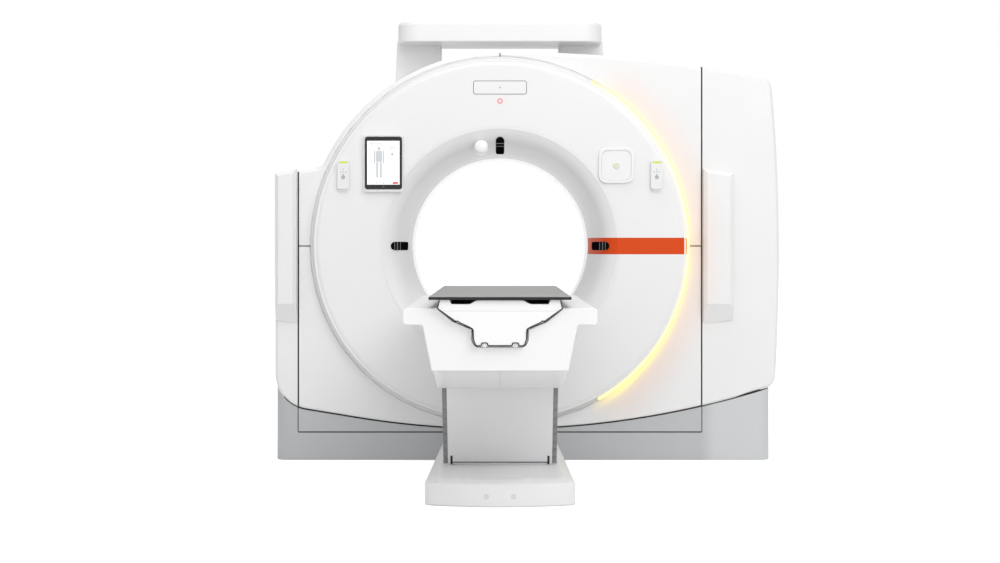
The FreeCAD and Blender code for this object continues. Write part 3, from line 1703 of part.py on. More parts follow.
frame_y = (-dim.frame_front, -dim.frame_rear)
frame_sides = [
    box("frame_side_" + label, across, frame_y, (dim.frame_low, dim.frame_high))
    for label, across in {
        "left": (-dim.frame_outer, -dim.frame_inner),
        "right": (dim.frame_inner, dim.frame_outer),
    }.items()
]
plate_t = dim.web_thick
frame_ends = [
    box("frame_end_" + label, (-dim.frame_inner, dim.frame_inner), y, (dim.frame_low, roof_level))
    for label, y in {
        "front": (-dim.frame_front, plate_t - dim.frame_front),
        "rear": (-dim.frame_rear - plate_t, -dim.frame_rear),
    }.items()
]
ceiling_gap = box("frame_trim", (dim.carriage_top_half, far), (-far, far), (dim.frame_high, far))
ceiling_gap_left = box("frame_trim_left", (-far, -dim.carriage_top_half), (-far, far), (dim.frame_high, far))
frame_solid = fuse("table_frame_solid", *frame_sides, *frame_ends)
HEADS = {"front": head_y, "rear": head_y + dim.arm_spacing}
head_pins = [
    rod("head_pin_" + label, dim.pin_radius, 2 * dim.frame_inner, -dim.frame_inner, y, head_z, "X")
    for label, y in HEADS.items()
]
frame_trimmed = cut("table_frame_trimmed", frame_solid, ceiling_gap, ceiling_gap_left)
publish(fuse("table_frame_all", frame_trimmed, *head_pins), "table_frame")

rails = []
for label, side in {"left": -1, "right": 1}.items():
    low, high = dim.rail_across - dim.rail_width / 2, dim.rail_across + dim.rail_width / 2
    runner = box(
        "rail_solid_" + label,
        mirrored(low, high, side),
        (dim.tub_wall - dim.housing_front, -dim.housing_rear - dim.tub_wall),
        (floor_level, floor_level + dim.rail_height),
    )
    rails.append(runner)
publish(fuse("slide_rails_both", *rails), "slide_rails")

# cradle: its long shell, its end cap and its carriage are one moulding
bed_half = dim.ridge_half
sag = dim.cradle_top - dim.bed_level
bed_arc = (bed_half * bed_half + sag * sag) / (2 * sag)
hump = dim.cradle_top - dim.cap_dip
cap_arc = (bed_half * bed_half + hump * hump) / (2 * hump)
HULL = [
    (dim.keel_half, dim.keel_level),
    (dim.hull_half, dim.hull_knee),
    (dim.cradle_half, dim.cradle_widest),
    (dim.cradle_crown_half, dim.cradle_top),
]
trough = HULL + [(bed_half, dim.cradle_top, 0, -bed_arc)]
bed = lengthways("cradle_bed", trough, dim.cradle_front, dim.cradle_rear)
cap = lengthways(
    "cradle_cap",
    HULL + [(bed_half, dim.cradle_top), (bed_half, dim.cap_dip, 0, cap_arc)],
    dim.cradle_front,
    dim.cradle_front - dim.cap_thick,
)
carriage = lengthways(
    "carriage",
    [
        (dim.carriage_low_half, dim.carriage_low, dim.carriage_round),
        (dim.carriage_top_half, dim.keel_level - dim.carriage_top_drop),
        (dim.carriage_top_half, dim.keel_level + 1),
    ],
    dim.cradle_front,
    dim.cradle_front - dim.carriage_length,
)
play = dim.rail_play
grooves = [
    box(
        "carriage_groove_" + label,
        mirrored(low - play, high + play, side),
        (-far, 0),
        (0, floor_level + dim.rail_height + play),
    )
    for label, side in {"left": -1, "right": 1}.items()
]
cradle = cut("cradle_cut", fuse("cradle_solid", bed, cap, carriage), *grooves)
publish(cradle, "cradle")

overlay = new_body("flat_overlay")
cut_back = dim.overlay_cut
corners = [
    (-dim.overlay_half, -dim.overlay_front, cut_back),
    (dim.overlay_half, -dim.overlay_front, cut_back),
    (dim.overlay_half, -dim.cradle_rear, cut_back),
    (-dim.overlay_half, -dim.cradle_rear, cut_back),
]
pad(overlay, new_sketch(overlay, "XY", [corners], lift=dim.cradle_top), dim.overlay_thick)
publish(overlay, "flat_overlay")

# --- check and write ------------------------------------------------------------------

doc.recompute()
for thing in doc.Objects:
    for fault in ("Invalid", "Error"):
        if fault in thing.State:
            raise RuntimeError(f"{thing.Name} did not build: {fault}")
for thing in nodes:
    if thing.Shape.isNull() or not thing.Shape.isValid() or not thing.Shape.Solids:
        raise RuntimeError(f"{thing.Label} is not a valid solid")
os.makedirs("parts", exist_ok=True)
for thing in nodes:
    thing.Shape.exportStep(f"parts/{thing.Label}.step")
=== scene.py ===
"""A ring scanner and its patient table, dressed and lit."""
import json
from math import copysign, cos, hypot, pi, radians, sin, sqrt, tan

import bmesh
import bpy
from bpy.props import FloatProperty, FloatVectorProperty, PointerProperty
from mathutils import Matrix, Vector


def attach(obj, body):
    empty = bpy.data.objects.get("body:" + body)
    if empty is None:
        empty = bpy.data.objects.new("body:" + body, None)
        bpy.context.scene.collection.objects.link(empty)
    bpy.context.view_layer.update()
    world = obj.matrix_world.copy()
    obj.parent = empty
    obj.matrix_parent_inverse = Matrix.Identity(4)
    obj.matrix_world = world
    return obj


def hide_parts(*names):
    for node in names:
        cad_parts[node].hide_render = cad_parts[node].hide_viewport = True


bl_info = {
    "name": "Ring scanner and table",
    "version": (1, 0, 0),
    "blender": (4, 5, 0),
    "location": "3D View > Sidebar > Scanner",
    "description": "Builds the finished pieces, the surfaces and the stage of a ring scanner",
    "category": "Object",
}

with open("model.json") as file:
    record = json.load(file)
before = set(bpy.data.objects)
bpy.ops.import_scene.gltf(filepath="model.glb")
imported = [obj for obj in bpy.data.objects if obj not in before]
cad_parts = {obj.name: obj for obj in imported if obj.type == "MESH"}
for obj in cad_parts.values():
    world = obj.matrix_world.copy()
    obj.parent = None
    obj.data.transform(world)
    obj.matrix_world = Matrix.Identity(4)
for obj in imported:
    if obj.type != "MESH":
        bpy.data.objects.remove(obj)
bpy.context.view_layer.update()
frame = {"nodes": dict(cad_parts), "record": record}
RECORD = frame["record"]
BODY_OF = {node: body for body, nodes in RECORD["behaviour"]["bodies"].items() for node in nodes}

# Places on the gantry, in metres. A rise is a height above the bore's axis.
ISO = 0.990
FACE = -0.517
BACK = 0.500
DISC = 0.862
CHIN = 0.800
CHIN_DROP = 0.062
FLANK = 0.856
FLAT = 0.74
BORE = 0.425
LINER = 0.431
WALL = 0.006
GUIDE = 0.878
SEAM = 0.933
KICK_TOP = 0.130
HATCH_RISE = 0.729
STATUS_RISE = 0.667
WINDOW_RISE = 0.4675
DOME_X, DOME_RISE = -0.086, 0.455
DOCK_X, DOCK_RISE = 0.535, 0.371
TABLET_X, TABLET_RISE = -0.535, 0.381
REMOTE_X, REMOTE_RISE = 0.720, 0.328

DISC_ROUND, LIP_ROUND, THROAT_ROUND = 0.034, 0.110, 0.900
BLACK = (0, 0, 0)
BEVEL_ANGLE = 26
BEVEL_STEPS = 3


# --- settings a user would change


def length(name, description, default):
    return FloatProperty(name=name, description=description, default=default, unit="LENGTH")


def colour(name, description, default):
    return FloatVectorProperty(
        name=name, description=description, default=default, size=3, subtype="COLOR", min=0, max=1
    )


class ScannerSizes(bpy.types.PropertyGroup):
    """Sizes of the finished forms, in metres."""

    disc_round: length("Disc rim", "Round of the front disc's rim", DISC_ROUND)
    lip_round: length("Funnel lip", "Round where the funnel leaves the disc", LIP_ROUND)
    throat_round: length(
        "Funnel throat", "Round where the funnel meets the tunnel", THROAT_ROUND
    )
    cover_round: length("Cover edges", "Round on the covers' edges", 0.0055)
    trim_round: length("Small edges", "Round on small mouldings", 0.0012)
    # A dark strip round the cradle's end stands for the shadow in the gap there.
    shadow_strip: length("Cradle edging", "Thickness of the dark edging round the cradle's end", 0.0046)


class ScannerColours(bpy.types.PropertyGroup):
    """Colours of the finishes, linear."""

    cover: colour("Covers", "White of the covers", (0.80, 0.80, 0.80))
    plinth: colour("Plinth", "Grey of the plinth", (0.46, 0.47, 0.48))
    column: colour("Column", "Light grey of the table's column", (0.80, 0.80, 0.81))
    band: colour("Accent band", "Orange of the accent band", (0.66, 0.066, 0.008))
    glow: colour("Light guide", "Warm light of the guide", (1.0, 0.80, 0.22))
    halo: colour("Halo", "Warm light on the cover beside the guide", (1.0, 0.78, 0.25))
    overlay: colour("Table top", "Grey of the flat table top", (0.30, 0.30, 0.295))


# --- shader maths


def maths(operation, flipped=False):
    """A method that adds one Math node."""

    def method(self, other):
        first, second = (other, self) if flipped else (self, other)
        return self.finish.node("Math", {"operation": operation}, {0: first, 1: second})

    return method


class Value:
    """A node's output that adds its Math nodes when it is used in a sum."""

    def __init__(self, finish, socket):
        self.finish = finish
        self.socket = socket

    __add__ = __radd__ = maths("ADD")
    __sub__, __rsub__ = maths("SUBTRACT"), maths("SUBTRACT", True)
    __mul__ = __rmul__ = maths("MULTIPLY")
    __truediv__, __rtruediv__ = maths("DIVIDE"), maths("DIVIDE", True)
    __pow__ = maths("POWER")
    above, below = maths("GREATER_THAN"), maths("LESS_THAN")
    lesser, greater = maths("MINIMUM"), maths("MAXIMUM")

    def __abs__(self):
        return self.finish.node("Math", {"operation": "ABSOLUTE"}, {0: self})

    def ramp(self, low, high, start=0.0, end=1.0):
        """A smooth step from start at low to end at high."""
        return self.finish.node(
            "MapRange",
            {"interpolation_type": "SMOOTHSTEP"},
            {"Value": self, "From Min": low, "From Max": high, "To Min": start, "To Max": end},
        )

    def wave(self, turns):
        """A sine wave with that many radians to a unit."""
        return self.finish.node("Math", {"operation": "SINE"}, {0: self * turns})


def emptied(owner):
    """The owner's node tree with nothing in it."""
    owner.use_nodes = True
    owner.node_tree.nodes.clear()
    return owner.node_tree


class Finish:
    """A material whose look is built from expressions on Object coordinates."""

    def __init__(self, name, colour, roughness, **fixed):
        self.material = bpy.data.materials.new(name)
        self.tree = emptied(self.material)
        self.shader = self.tree.nodes.new("ShaderNodeBsdfPrincipled")
        self.output = self.tree.nodes.new("ShaderNodeOutputMaterial")
        self.tree.links.new(self.shader.outputs[0], self.output.inputs[0])
        self.places = self.node("TexCoord", {}, {}, "Object")
        split = self.tree.nodes.new("ShaderNodeSeparateXYZ")
        self.tree.links.new(self.places.socket, split.inputs[0])
        self.x, self.y, self.z = (Value(self, out) for out in split.outputs)
        self.paint(colour)
        self.set("Roughness", roughness)
        for socket, amount in fixed.items():
            self.set(socket.replace("_", " ").title().replace("Ior", "IOR"), amount)

    def node(self, kind, settings, inputs, output=0):
        """A new node with its settings made first, then its sockets fed."""
        node = self.tree.nodes.new("ShaderNode" + kind)
        for key, amount in settings.items():
            setattr(node, key, amount)
        for key, amount in inputs.items():
            self.feed(node.inputs[key], amount)
        return Value(self, node.outputs[output])

    def feed(self, socket, amount):
        if isinstance(amount, Value):
            self.tree.links.new(amount.socket, socket)
        elif socket.type == "RGBA" and not isinstance(amount, (int, float)):
            socket.default_value = (*amount, 1)[:4]
        else:
            socket.default_value = amount

    def set(self, socket, amount):
        self.feed(self.shader.inputs[socket], amount)

    def paint(self, tone):
        """The surface's own colour."""
        self.set("Base Color", tone)

    def mix(self, first, second, factor):
        """A colour between two, by factor."""
        return self.node("Mix", {"data_type": "RGBA"}, {0: factor, 6: first, 7: second}, 2)

    def noise(self, scale, detail=2.0, stretch=None):
        """Soft noise, finer with scale, drawn out by stretch."""
        place = self.places
        if stretch:
            place = self.node("VectorMath", {"operation": "MULTIPLY"}, {0: place, 1: stretch})
        return self.node("TexNoise", {}, {"Vector": place, "Scale": scale, "Detail": detail})

    def bump(self, height, strength, distance):
        """Small relief from a height value."""
        relief = self.node(
            "Bump", {}, {"Height": height, "Strength": strength, "Distance": distance}, "Normal"
        )
        self.set("Normal", relief)

    def glow(self, colour, strength):
        """The light that the surface gives off."""
        self.set("Emission Color", colour)
        self.set("Emission Strength", strength)

    def box_mask(self, across, level, half_width, half_height, corner, soft=0.0006):
        """1 inside a rounded box on the XZ plane, and the distance to its edge."""
        out_x = (abs(self.x - across) - (half_width - corner)).greater(0.0)
        out_z = (abs(self.z - level) - (half_height - corner)).greater(0.0)
        away = (out_x * out_x + out_z * out_z) ** 0.5 - corner
        return away.ramp(-soft, soft, 1.0, 0.0), away

    def away(self, across=0.0, level=ISO):
        """The distance from a point on the XZ plane, with its two parts."""
        dx = self.x - across if across else self.x
        dz = self.z - level
        return (dx * dx + dz * dz) ** 0.5, dx, dz

    def spot(self, across, level, radius, soft=0.0004):
        """1 inside a circle on the XZ plane."""
        return self.away(across, level)[0].ramp(radius - soft, radius + soft, 1.0, 0.0)


def shade(colour, amount):
    """A colour made lighter or darker."""
    return tuple(min(1.0, c * amount) for c in colour)


def textured(name, colour, roughness, cloud, grain, tones, gloss, relief, streaks=0.0, **fixed):
    """A finish made uneven in tone and gloss by a coarse noise and a fine one."""
    finish = Finish(name, colour, roughness, **fixed)
    cloud, grain = finish.noise(*cloud), finish.noise(*grain)
    amount = cloud * (1 - streaks) + grain * streaks if streaks else cloud
    finish.tone = finish.mix(shade(colour, tones[0]), shade(colour, tones[1]), amount)
    finish.paint(finish.tone)
    uneven = cloud * gloss[0] + grain * gloss[1]
    finish.set("Roughness", uneven + (roughness - sum(gloss) / 2))
    finish.bump(grain, *relief)
    return finish


def moulded(name, colour, roughness=0.36, pebble=1.0, **fixed):
    """Painted or moulded shell."""
    return textured(
        name, colour, roughness, (3.0, 2.0), (620.0, 3.0), (0.965, 1.02), (0.08, 0.06),
        (0.10 * pebble, 0.0004), **fixed,
    )


def machined(name, colour, roughness, along):
    """Bare metal with fine tool lines and a little tarnish."""
    return textured(
        name, colour, roughness, (9.0, 3.0), (900.0, 2.0, along), (0.82, 1.1), (0.12, 0.2),
        (0.12, 0.0003), streaks=0.4, metallic=1.0,
    )


def enamelled(name, colour, roughness=0.45):
    """Powder-coated steel with a fine orange-peel relief."""
    return textured(
        name, colour, roughness, (6.0, 3.0), (420.0, 2.0), (0.9, 1.06), (0.1, 0.08), (0.25, 0.0006)
    )


def rubbery(name, colour, roughness=0.7):
    """Matt dark rubber."""
    return textured(
        name, colour, roughness, (12.0, 2.0), (1500.0, 2.0), (0.8, 1.3), (0.0, 0.14), (0.2, 0.0002)
    )


# --- modelling helpers


def alone(thing=None):
    """Nothing is selected but thing."""
    if bpy.context.object and bpy.context.object.mode != "OBJECT":
        bpy.ops.object.mode_set(mode="OBJECT")
    bpy.ops.object.select_all(action="DESELECT")
    if thing:
        bpy.context.view_layer.objects.active = thing
        thing.select_set(True)


def named(name):
    """The primitive that was just added, under its own name."""
    thing = bpy.context.object
    thing.name = thing.data.name = name
    return thing


def edit(thing, select=True):
    """Edit mode, with all of the mesh selected or none."""
    alone(thing)
    bpy.ops.object.mode_set(mode="EDIT")
    bpy.ops.mesh.select_all(action="SELECT" if select else "DESELECT")


def pick_all():
    bpy.ops.mesh.select_all(action="SELECT")


def close_up():
    """Faces point outwards, and the piece leaves edit mode."""
    pick_all()
    bpy.ops.mesh.normals_make_consistent(inside=False)
    done()


def done():
    bpy.ops.object.mode_set(mode="OBJECT")


def modify(thing, kind, **settings):
    """Add a modifier and apply it."""
    alone(thing)
    modifier = thing.modifiers.new(kind.lower(), kind)
    for key, amount in settings.items():
        setattr(modifier, key, amount)
    bpy.ops.object.modifier_apply(modifier=modifier.name)


def settle(thing):
    """The object's place goes into its mesh."""
    alone(thing)
    bpy.ops.object.transform_apply(location=True, rotation=True, scale=True)


def smooth(thing, degrees=40):
    """Smooth shading over edges that turn by less than that many degrees."""
    alone(thing)
    bpy.ops.object.shade_smooth_by_angle(angle=radians(degrees))


def polish(thing, degrees=40):
    """Smooth shading that keeps flat faces flat."""
    smooth(thing, degrees)
    modify(thing, "WEIGHTED_NORMAL", keep_sharp=True)


def slab(name, centre, size):
    """A plain block with its middle at centre."""
    alone()
    bpy.ops.mesh.primitive_cube_add(size=1.0, location=centre)
    block = named(name)
    block.scale = size
    settle(block)
    return block


def joined(piece, others):
    """The others become part of piece."""
    alone(piece)
    for other in others:
        other.select_set(True)
    bpy.ops.object.join()


def dress(thing, finish):
    """Give a piece or a CAD node one material."""
    if not thing.material_slots:
        thing.data.materials.append(finish.material)
    for slot in thing.material_slots:
        slot.material = finish.material


def stand_for(piece, finish, *nodes):
    """The finished piece takes the place of CAD nodes."""
    dress(piece, finish)
    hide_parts(*nodes)
    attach(piece, BODY_OF[nodes[0]])


def loop(name, places):
    """A closed loop of edges through the places."""
    alone()
    bpy.ops.mesh.primitive_circle_add(vertices=len(places), radius=1.0, fill_type="NOTHING")
    piece = named(name)
    for corner, place in zip(piece.data.vertices, places):
        corner.co = place
    return piece


def turned(name, section, steps=192, centre=(0.0, 0.0, ISO), sweep=2 * pi):
    """A closed section of (radius, y) corners, spun round the bore's axis."""
    piece = loop(name, [(centre[0] + radius, y, centre[2]) for radius, y in section])
    edit(piece)
    bpy.ops.mesh.spin(steps=steps, angle=sweep, center=centre, axis=(0.0, 1.0, 0.0))
    pick_all()
    bpy.ops.mesh.remove_doubles(threshold=0.00002)
    close_up()
    return piece


def eased(corners, steps=7):
    """A path through (u, v) or (u, v, round) corners, with its rounds as short runs."""
    path = []
    for i, corner in enumerate(corners):
        spot = Vector(corner[:2])
        if len(corner) < 3:
            path.append(tuple(spot))
            continue
        back = (Vector(corners[i - 1][:2]) - spot).normalized()
        ahead = (Vector(corners[(i + 1) % len(corners)][:2]) - spot).normalized()
        half = back.angle(ahead) / 2
        middle = spot + (back + ahead).normalized() * (corner[2] / sin(half))
        reach = corner[2] / tan(half)
        start, end = spot + back * reach - middle, spot + ahead * reach - middle
        for step in range(steps + 1):
            arm = start.lerp(end, step / steps).normalized() * corner[2]
            path.append(tuple(middle + arm))
    return path


def drop_chin(piece):
    """The rings outside the flat of the face follow the disc's lower half."""
    for corner in piece.data.vertices:
        x, z = corner.co.x, corner.co.z - ISO
        radius = hypot(x, z)
        if z > -0.00001 or radius < FLAT:
            continue
        share = (radius - CHIN_DROP) / radius
        side = 0.0 if abs(x) < 0.00001 else copysign(CHIN_DROP, x)
        corner.co.x = x * share + side
        corner.co.z = ISO + z * share


def on_mouth(spot, reach):
    """Where a point by the disc's outline, grown by reach, lies on it, or None."""
    x, z = spot.x, spot.z - ISO
    if z < 0 and abs(x) < CHIN_DROP:
        return None
    centre = 0.0 if z >= 0 else copysign(CHIN_DROP, x)
    radius = (DISC if z >= 0 else CHIN) + reach
    away = hypot(x - centre, z)
    if abs(away - radius) > 0.0032:
        return None
    return Vector((centre + (x - centre) * radius / away, spot.y, ISO + z * radius / away))


def cut_along(cuts):
    """Edges where planes, each a point and a normal, cross the mesh in edit mode."""
    for spot, normal in cuts:
        pick_all()
        bpy.ops.mesh.bisect(plane_co=spot, plane_no=normal)


def upright_cuts(*places):
    """Planes that stand across at x places, on both sides."""
    return [((side * x, 0, 0), (1, 0, 0)) for x in places for side in (1, -1)]


def reshape(mesh, form):
    """Every corner of a mesh in edit mode goes where form puts it."""
    shell = bmesh.from_edit_mesh(mesh)
    for corner in shell.verts:
        corner.co = form(corner.co)
    bmesh.update_edit_mesh(mesh)


def pick_edges(mesh, rule):
    """Only the edges that rule picks are selected, in edit mode."""
    bpy.ops.mesh.select_all(action="DESELECT")
    shell = bmesh.from_edit_mesh(mesh)
    for edge in shell.edges:
        edge.select = rule(edge)
    shell.select_flush_mode()
    bmesh.update_edit_mesh(mesh)


def round_mouth(mesh, reach):
    """Long edges on the disc's outline are split and laid on its curve."""

    def long(edge):
        first, second = (corner.co for corner in edge.verts)
        outline = on_mouth(first, reach) and on_mouth(second, reach)
        return bool(outline) and edge.calc_length() > 0.03 and abs(first.y - second.y) < 0.001

    pick_edges(mesh, long)
    bpy.ops.mesh.subdivide(number_cuts=3)
    reshape(mesh, lambda spot: on_mouth(spot, reach) or spot)


def cast(node, name, width, mouth=None, sharp=34, clamp=False, cuts=(), form=None, fillet=None):
    """A merged copy of a CAD node, reshaped by form, its edges rounded."""
    source = frame["nodes"][node]
    mesh = source.data.copy()
    mesh.transform(source.matrix_world)
    piece = bpy.data.objects.new(name, mesh)
    mesh.name = name
    mesh.materials.clear()
    bpy.context.scene.collection.objects.link(piece)
    edit(piece)
    bpy.ops.mesh.remove_doubles(threshold=0.00003)
    bpy.ops.mesh.dissolve_limited(angle_limit=radians(0.4))
    if mouth is not None:
        round_mouth(mesh, mouth)
    cut_along(cuts)
    if form:
        reshape(mesh, lambda spot: form(*spot))
    if fillet:
        rule, radius = fillet
        pick_edges(
            mesh, lambda edge: all(rule(v.co) for v in edge.verts) and edge.calc_length() > radius
        )
        bpy.ops.mesh.bevel(offset=radius, segments=6)
    done()
    if width:
        modify(
            piece, "BEVEL", width=width, segments=BEVEL_STEPS, limit_method="ANGLE",
            angle_limit=radians(BEVEL_ANGLE), use_clamp_overlap=clamp,
            miter_outer="MITER_ARC",
        )
    polish(piece, sharp)
    return piece


def recast(node, name, finish, width, **shape):
    """A reshaped copy of a CAD node takes the node's place."""
    stand_for(cast(node, name, width, **shape), finish, node)


def share(amount, low, high):
    """How far amount is from low to high, from 0 to 1."""
    return max(0.0, min(1.0, (amount - low) / (high - low)))


BEAM_FOOT = 1.983
CORNER_X, CORNER_Y = 0.443, 0.105
CORNER_GAIN = 0.045
LEG_BEFORE, LEG_FOOT, LEG_LEAN = 0.516, 0.525, 0.016


def bridge_form(x, y, z):
    """Rounder front corners on the beam, and legs that spread to their feet."""
    side = copysign(1.0, x)
    if z > BEAM_FOOT:
        away = Vector((abs(x) - CORNER_X, y - CORNER_Y))
        if min(away.x, CORNER_Y - y) > -0.0001 and away.length > 0.03:
            away *= (away.length + CORNER_GAIN) / away.length
            across = CORNER_X - CORNER_GAIN + away.x
            return Vector((side * across, CORNER_Y + CORNER_GAIN + away.y, z))
    if abs(x) > 0.499:
        x = side * (abs(x) - LEG_BEFORE + LEG_FOOT - LEG_LEAN * share(z, 1.62, 2.006))
    return Vector((x, y, z))


def opening_corner(spot):
    """At the top corners of the bridge's opening."""
    return abs(abs(spot.x) - 0.292) < 0.001 and abs(spot.z - 1.984) < 0.001


def right_form(x, y, z):
    """The far right side drawn in, by 17 mm low down and 8 mm at the top."""
    if x > 1.15:
        x -= 0.017 - 0.009 * share(z, 0.6, 1.6)
    return Vector((x, y, z))


NOSE_Y = -2.300
NOSE_HALF, NOSE_WIDE = 0.150, 0.290
BOW = 0.598
BASE_TOP, EDGE_FOOT = 0.1185, 0.081
BASE_LINES = (
    (Vector((0.0, NOSE_Y)), Vector((0.0, -1.0))),
    (Vector((NOSE_HALF, NOSE_Y)), Vector((0.6, -0.8))),
    (Vector((NOSE_WIDE, -2.195)), Vector((0.99989, 0.01492))),
)
BASE_EDGE = 0.050


def base_cuts():
    """Planes under the sloped edge of the base, and across its nose."""
    cuts = upright_cuts(0.04, 0.08, 0.12, 0.16, 0.20, 0.24)
    for spot, normal in BASE_LINES:
        spot = spot - normal * BASE_EDGE
        for side in (1, -1):
            cuts.append(((side * spot.x, spot.y, 0), (side * normal.x, normal.y, 0)))
    return cuts


def base_form(x, y, z):
    """The base's nose as one shallow bow, its top edge sloped off."""
    flat = Vector((abs(x), y))
    inside = min((spot - flat).dot(normal) for spot, normal in BASE_LINES)
    old = BASE_TOP - 0.0345 * share(-y, 1.9, 2.3)
    below = old - z
    if below < 0.012:
        new = BASE_TOP - 0.0165 * share(-y, 1.9, 2.3)
        z = EDGE_FOOT + (new - EDGE_FOOT) * share(inside, 0.0, BASE_EDGE) - below
    straight = NOSE_Y + 0.105 * share(abs(x), NOSE_HALF, NOSE_WIDE)
    bowed = NOSE_Y + BOW - sqrt(BOW**2 - min(x * x, NOSE_WIDE**2))
    return Vector((x, y + (bowed - straight) * share(-y, 2.05, 2.19), z))


EAR_BEFORE, EAR_FOOT = 0.188, 0.180
EAR_STRETCH = 39 / 18
CAP_END = -2.770


def cradle_form(x, y, z):
    """Upright ears, and a cap that swells in the middle."""
    side, wide = copysign(1.0, x), abs(x)
    if z > 0.7925 and wide > 0.1875:
        return Vector((side * (EAR_FOOT + (wide - EAR_BEFORE) * EAR_STRETCH), y, z + 0.0045))
    if z > 0.7655 and wide > 0.1905:
        return Vector((side * (wide + 0.001), y, z - 0.003))
    if z > 0.7821 and wide < 0.1885:
        wide *= EAR_FOOT / EAR_BEFORE
        if y < CAP_END:
            z = 0.7965 - 0.0140 * smoothed(share(wide, 0.078, 0.113))
    return Vector((side * wide, y, z))


def smoothed(part):
    """A share that starts and ends softly."""
    return part * part * (3 - 2 * part)


def board_form(x, y, z):
    """The board's underside, raised to the ears."""
    return Vector((x, y, 0.798 if 0.7925 < z < 0.7975 else z))


FINISHES = {}


# --- finishes


class SCANNER_OT_finishes(bpy.types.Operator):
    """Mix the finishes that the pieces share."""

    bl_idname = "scanner.finishes"
    bl_label = "Finishes"

    def execute(self, context):
        colours = context.scene.scanner_colours
        cover = tuple(colours.cover)
        white = moulded("cover_white", cover)
        # Painted shadow darkens the gaps between the covers.
        self.seam(white, white.tone)
        FINISHES["cover"] = white
        # Painted light: near the light guide the cover is painted pink and warm yellow and gives
        # off a warm glow, standing for the guide's light falling on it.
        lit = moulded("cover_white_lit", cover)
        away, dx, _ = lit.away()
        near = (away - 0.874).greater(0.0)
        sector = (dx / away.greater(0.01)).ramp(0.46, 0.66) * (0.0 - lit.y).ramp(0.30, 0.40)
        wide = near.ramp(0.0, 0.19, 0.85, 0.0) * sector
        close = (1.0 / (near * 30.0 + 1.0)) ** 3.0 * sector
        painted_halo = lit.mix(lit.tone, (0.84, 0.70, 0.66), wide)
        self.seam(lit, lit.mix(painted_halo, (0.84, 0.76, 0.40), close))
        lit.glow(lit.mix(BLACK, tuple(colours.halo), close), 0.40)
        FINISHES["cover_lit"] = lit

        disc = moulded("disc_white", cover, 0.34)
        hatch, edge = disc.box_mask(0.0, ISO + HATCH_RISE, 0.1215, 0.030, 0.009)
        # Painted shadow: a dark line round the hatch stands for the shade in its gap.
        seam = abs(edge - 0.0004).ramp(0.0010, 0.0022, 1.0, 0.0)
        away, dx, _ = disc.away()
        # Painted light: the disc's rim beside the guide gives off the guide's warm light.
        painted_glow_spill = away.ramp(0.835, DISC) ** 2.0 * (dx / away.greater(0.01)).ramp(0.46, 0.66)
        disc.paint(disc.mix(disc.tone, (0.05, 0.05, 0.05), seam * 0.85))
        disc.glow(disc.mix(BLACK, (1.0, 0.70, 0.20), painted_glow_spill), 0.16)
        FINISHES["disc"] = disc
        FINISHES["funnel"] = moulded("funnel_white", shade(cover, 0.98), 0.40)
        tunnel = moulded("tunnel_white", shade(cover, 0.98), 0.45)
        # Painted light: the tunnel gives off a faint white light, standing for the room's light
        # falling in from behind; it fades out towards the rear rim.
        tunnel.glow((1.0, 1.0, 1.0), tunnel.y.ramp(0.36, 0.46, 0.24, 0.0))
        FINISHES["tunnel"] = tunnel

        plinth = moulded("plinth_grey", tuple(colours.plinth), 0.42, 1.6)
        fleck = plinth.noise(2400.0, 1.0).ramp(0.45, 0.7)
        grey = plinth.mix(plinth.tone, shade(colours.plinth, 1.18), fleck * 0.25)
        # Painted light: the plinth's right end is painted lighter, as the light falls from the
        # right.
        grey = plinth.mix(grey, shade(colours.plinth, 1.24), plinth.x.ramp(0.92, 1.0))
        # Painted shadow darkens the gaps between the covers and the line above the kick panels.
        self.seam(plinth, grey, True)
        FINISHES["plinth"] = plinth
        FINISHES["kick"] = moulded("kick_grey", shade(colours.plinth, 1.04), 0.40, 1.6)
        FINISHES["seal"] = rubbery("seal_black", (0.012, 0.012, 0.012))
        FINISHES["groove"] = moulded("groove_white", shade(cover, 0.96), 0.45)

        guide = Finish("light_guide", tuple(colours.glow), 0.3)
        warm = guide.mix((1.0, 0.84, 0.30), (1.0, 0.93, 0.42), guide.noise(40.0, 1.0))
        away, dx, dz = guide.away()
        rise = (dz / GUIDE).ramp(-0.9, 0.7)
        guide.paint(warm)
        strength = (dx / away.greater(0.01)).ramp(0.45, 0.58, 0.05, 1.0)
        guide.glow(guide.mix(warm, (1.0, 0.97, 0.55), rise * 0.55), strength)
        FINISHES["guide"] = guide

        FINISHES["band"] = moulded(
            "band_orange", tuple(colours.band), 0.5, 0.7, specular_ior_level=0.15
        )
        FINISHES["steel_enamel"] = enamelled("steel_enamel", (0.15, 0.165, 0.18))
        FINISHES["unit_enamel"] = enamelled("unit_enamel", (0.26, 0.27, 0.29))
        FINISHES["arm_enamel"] = enamelled("arm_enamel", (0.58, 0.58, 0.58))
        FINISHES["ground_steel"] = machined(
            "ground_steel", (0.55, 0.55, 0.55), 0.30, (1.0, 30.0, 1.0)
        )
        FINISHES["copper"] = machined(
            "copper_tracks", (0.72, 0.38, 0.20), 0.28, (1.0, 60.0, 1.0)
        )
        FINISHES["small_white"] = moulded("small_white", shade(cover, 1.02), 0.38, 1.4)
        return {"FINISHED"}

    def seam(self, finish, tone, kick=False):
        """Painted shadow: the front's two upright cover joins, and the line above the kick panels,
        painted dark as the shade in their gaps.
        """
        dark = abs(abs(finish.x) - SEAM).below(0.0034) * finish.z.above(KICK_TOP)
        if kick:
            line = abs(finish.z - KICK_TOP).below(0.0040) * abs(finish.x).below(SEAM)
            dark = (dark + line).lesser(1.0)
        dark = dark * (0.0 - finish.y).above(0.20)
        finish.paint(finish.mix(tone, (0.02, 0.02, 0.02), dark))


# --- pieces


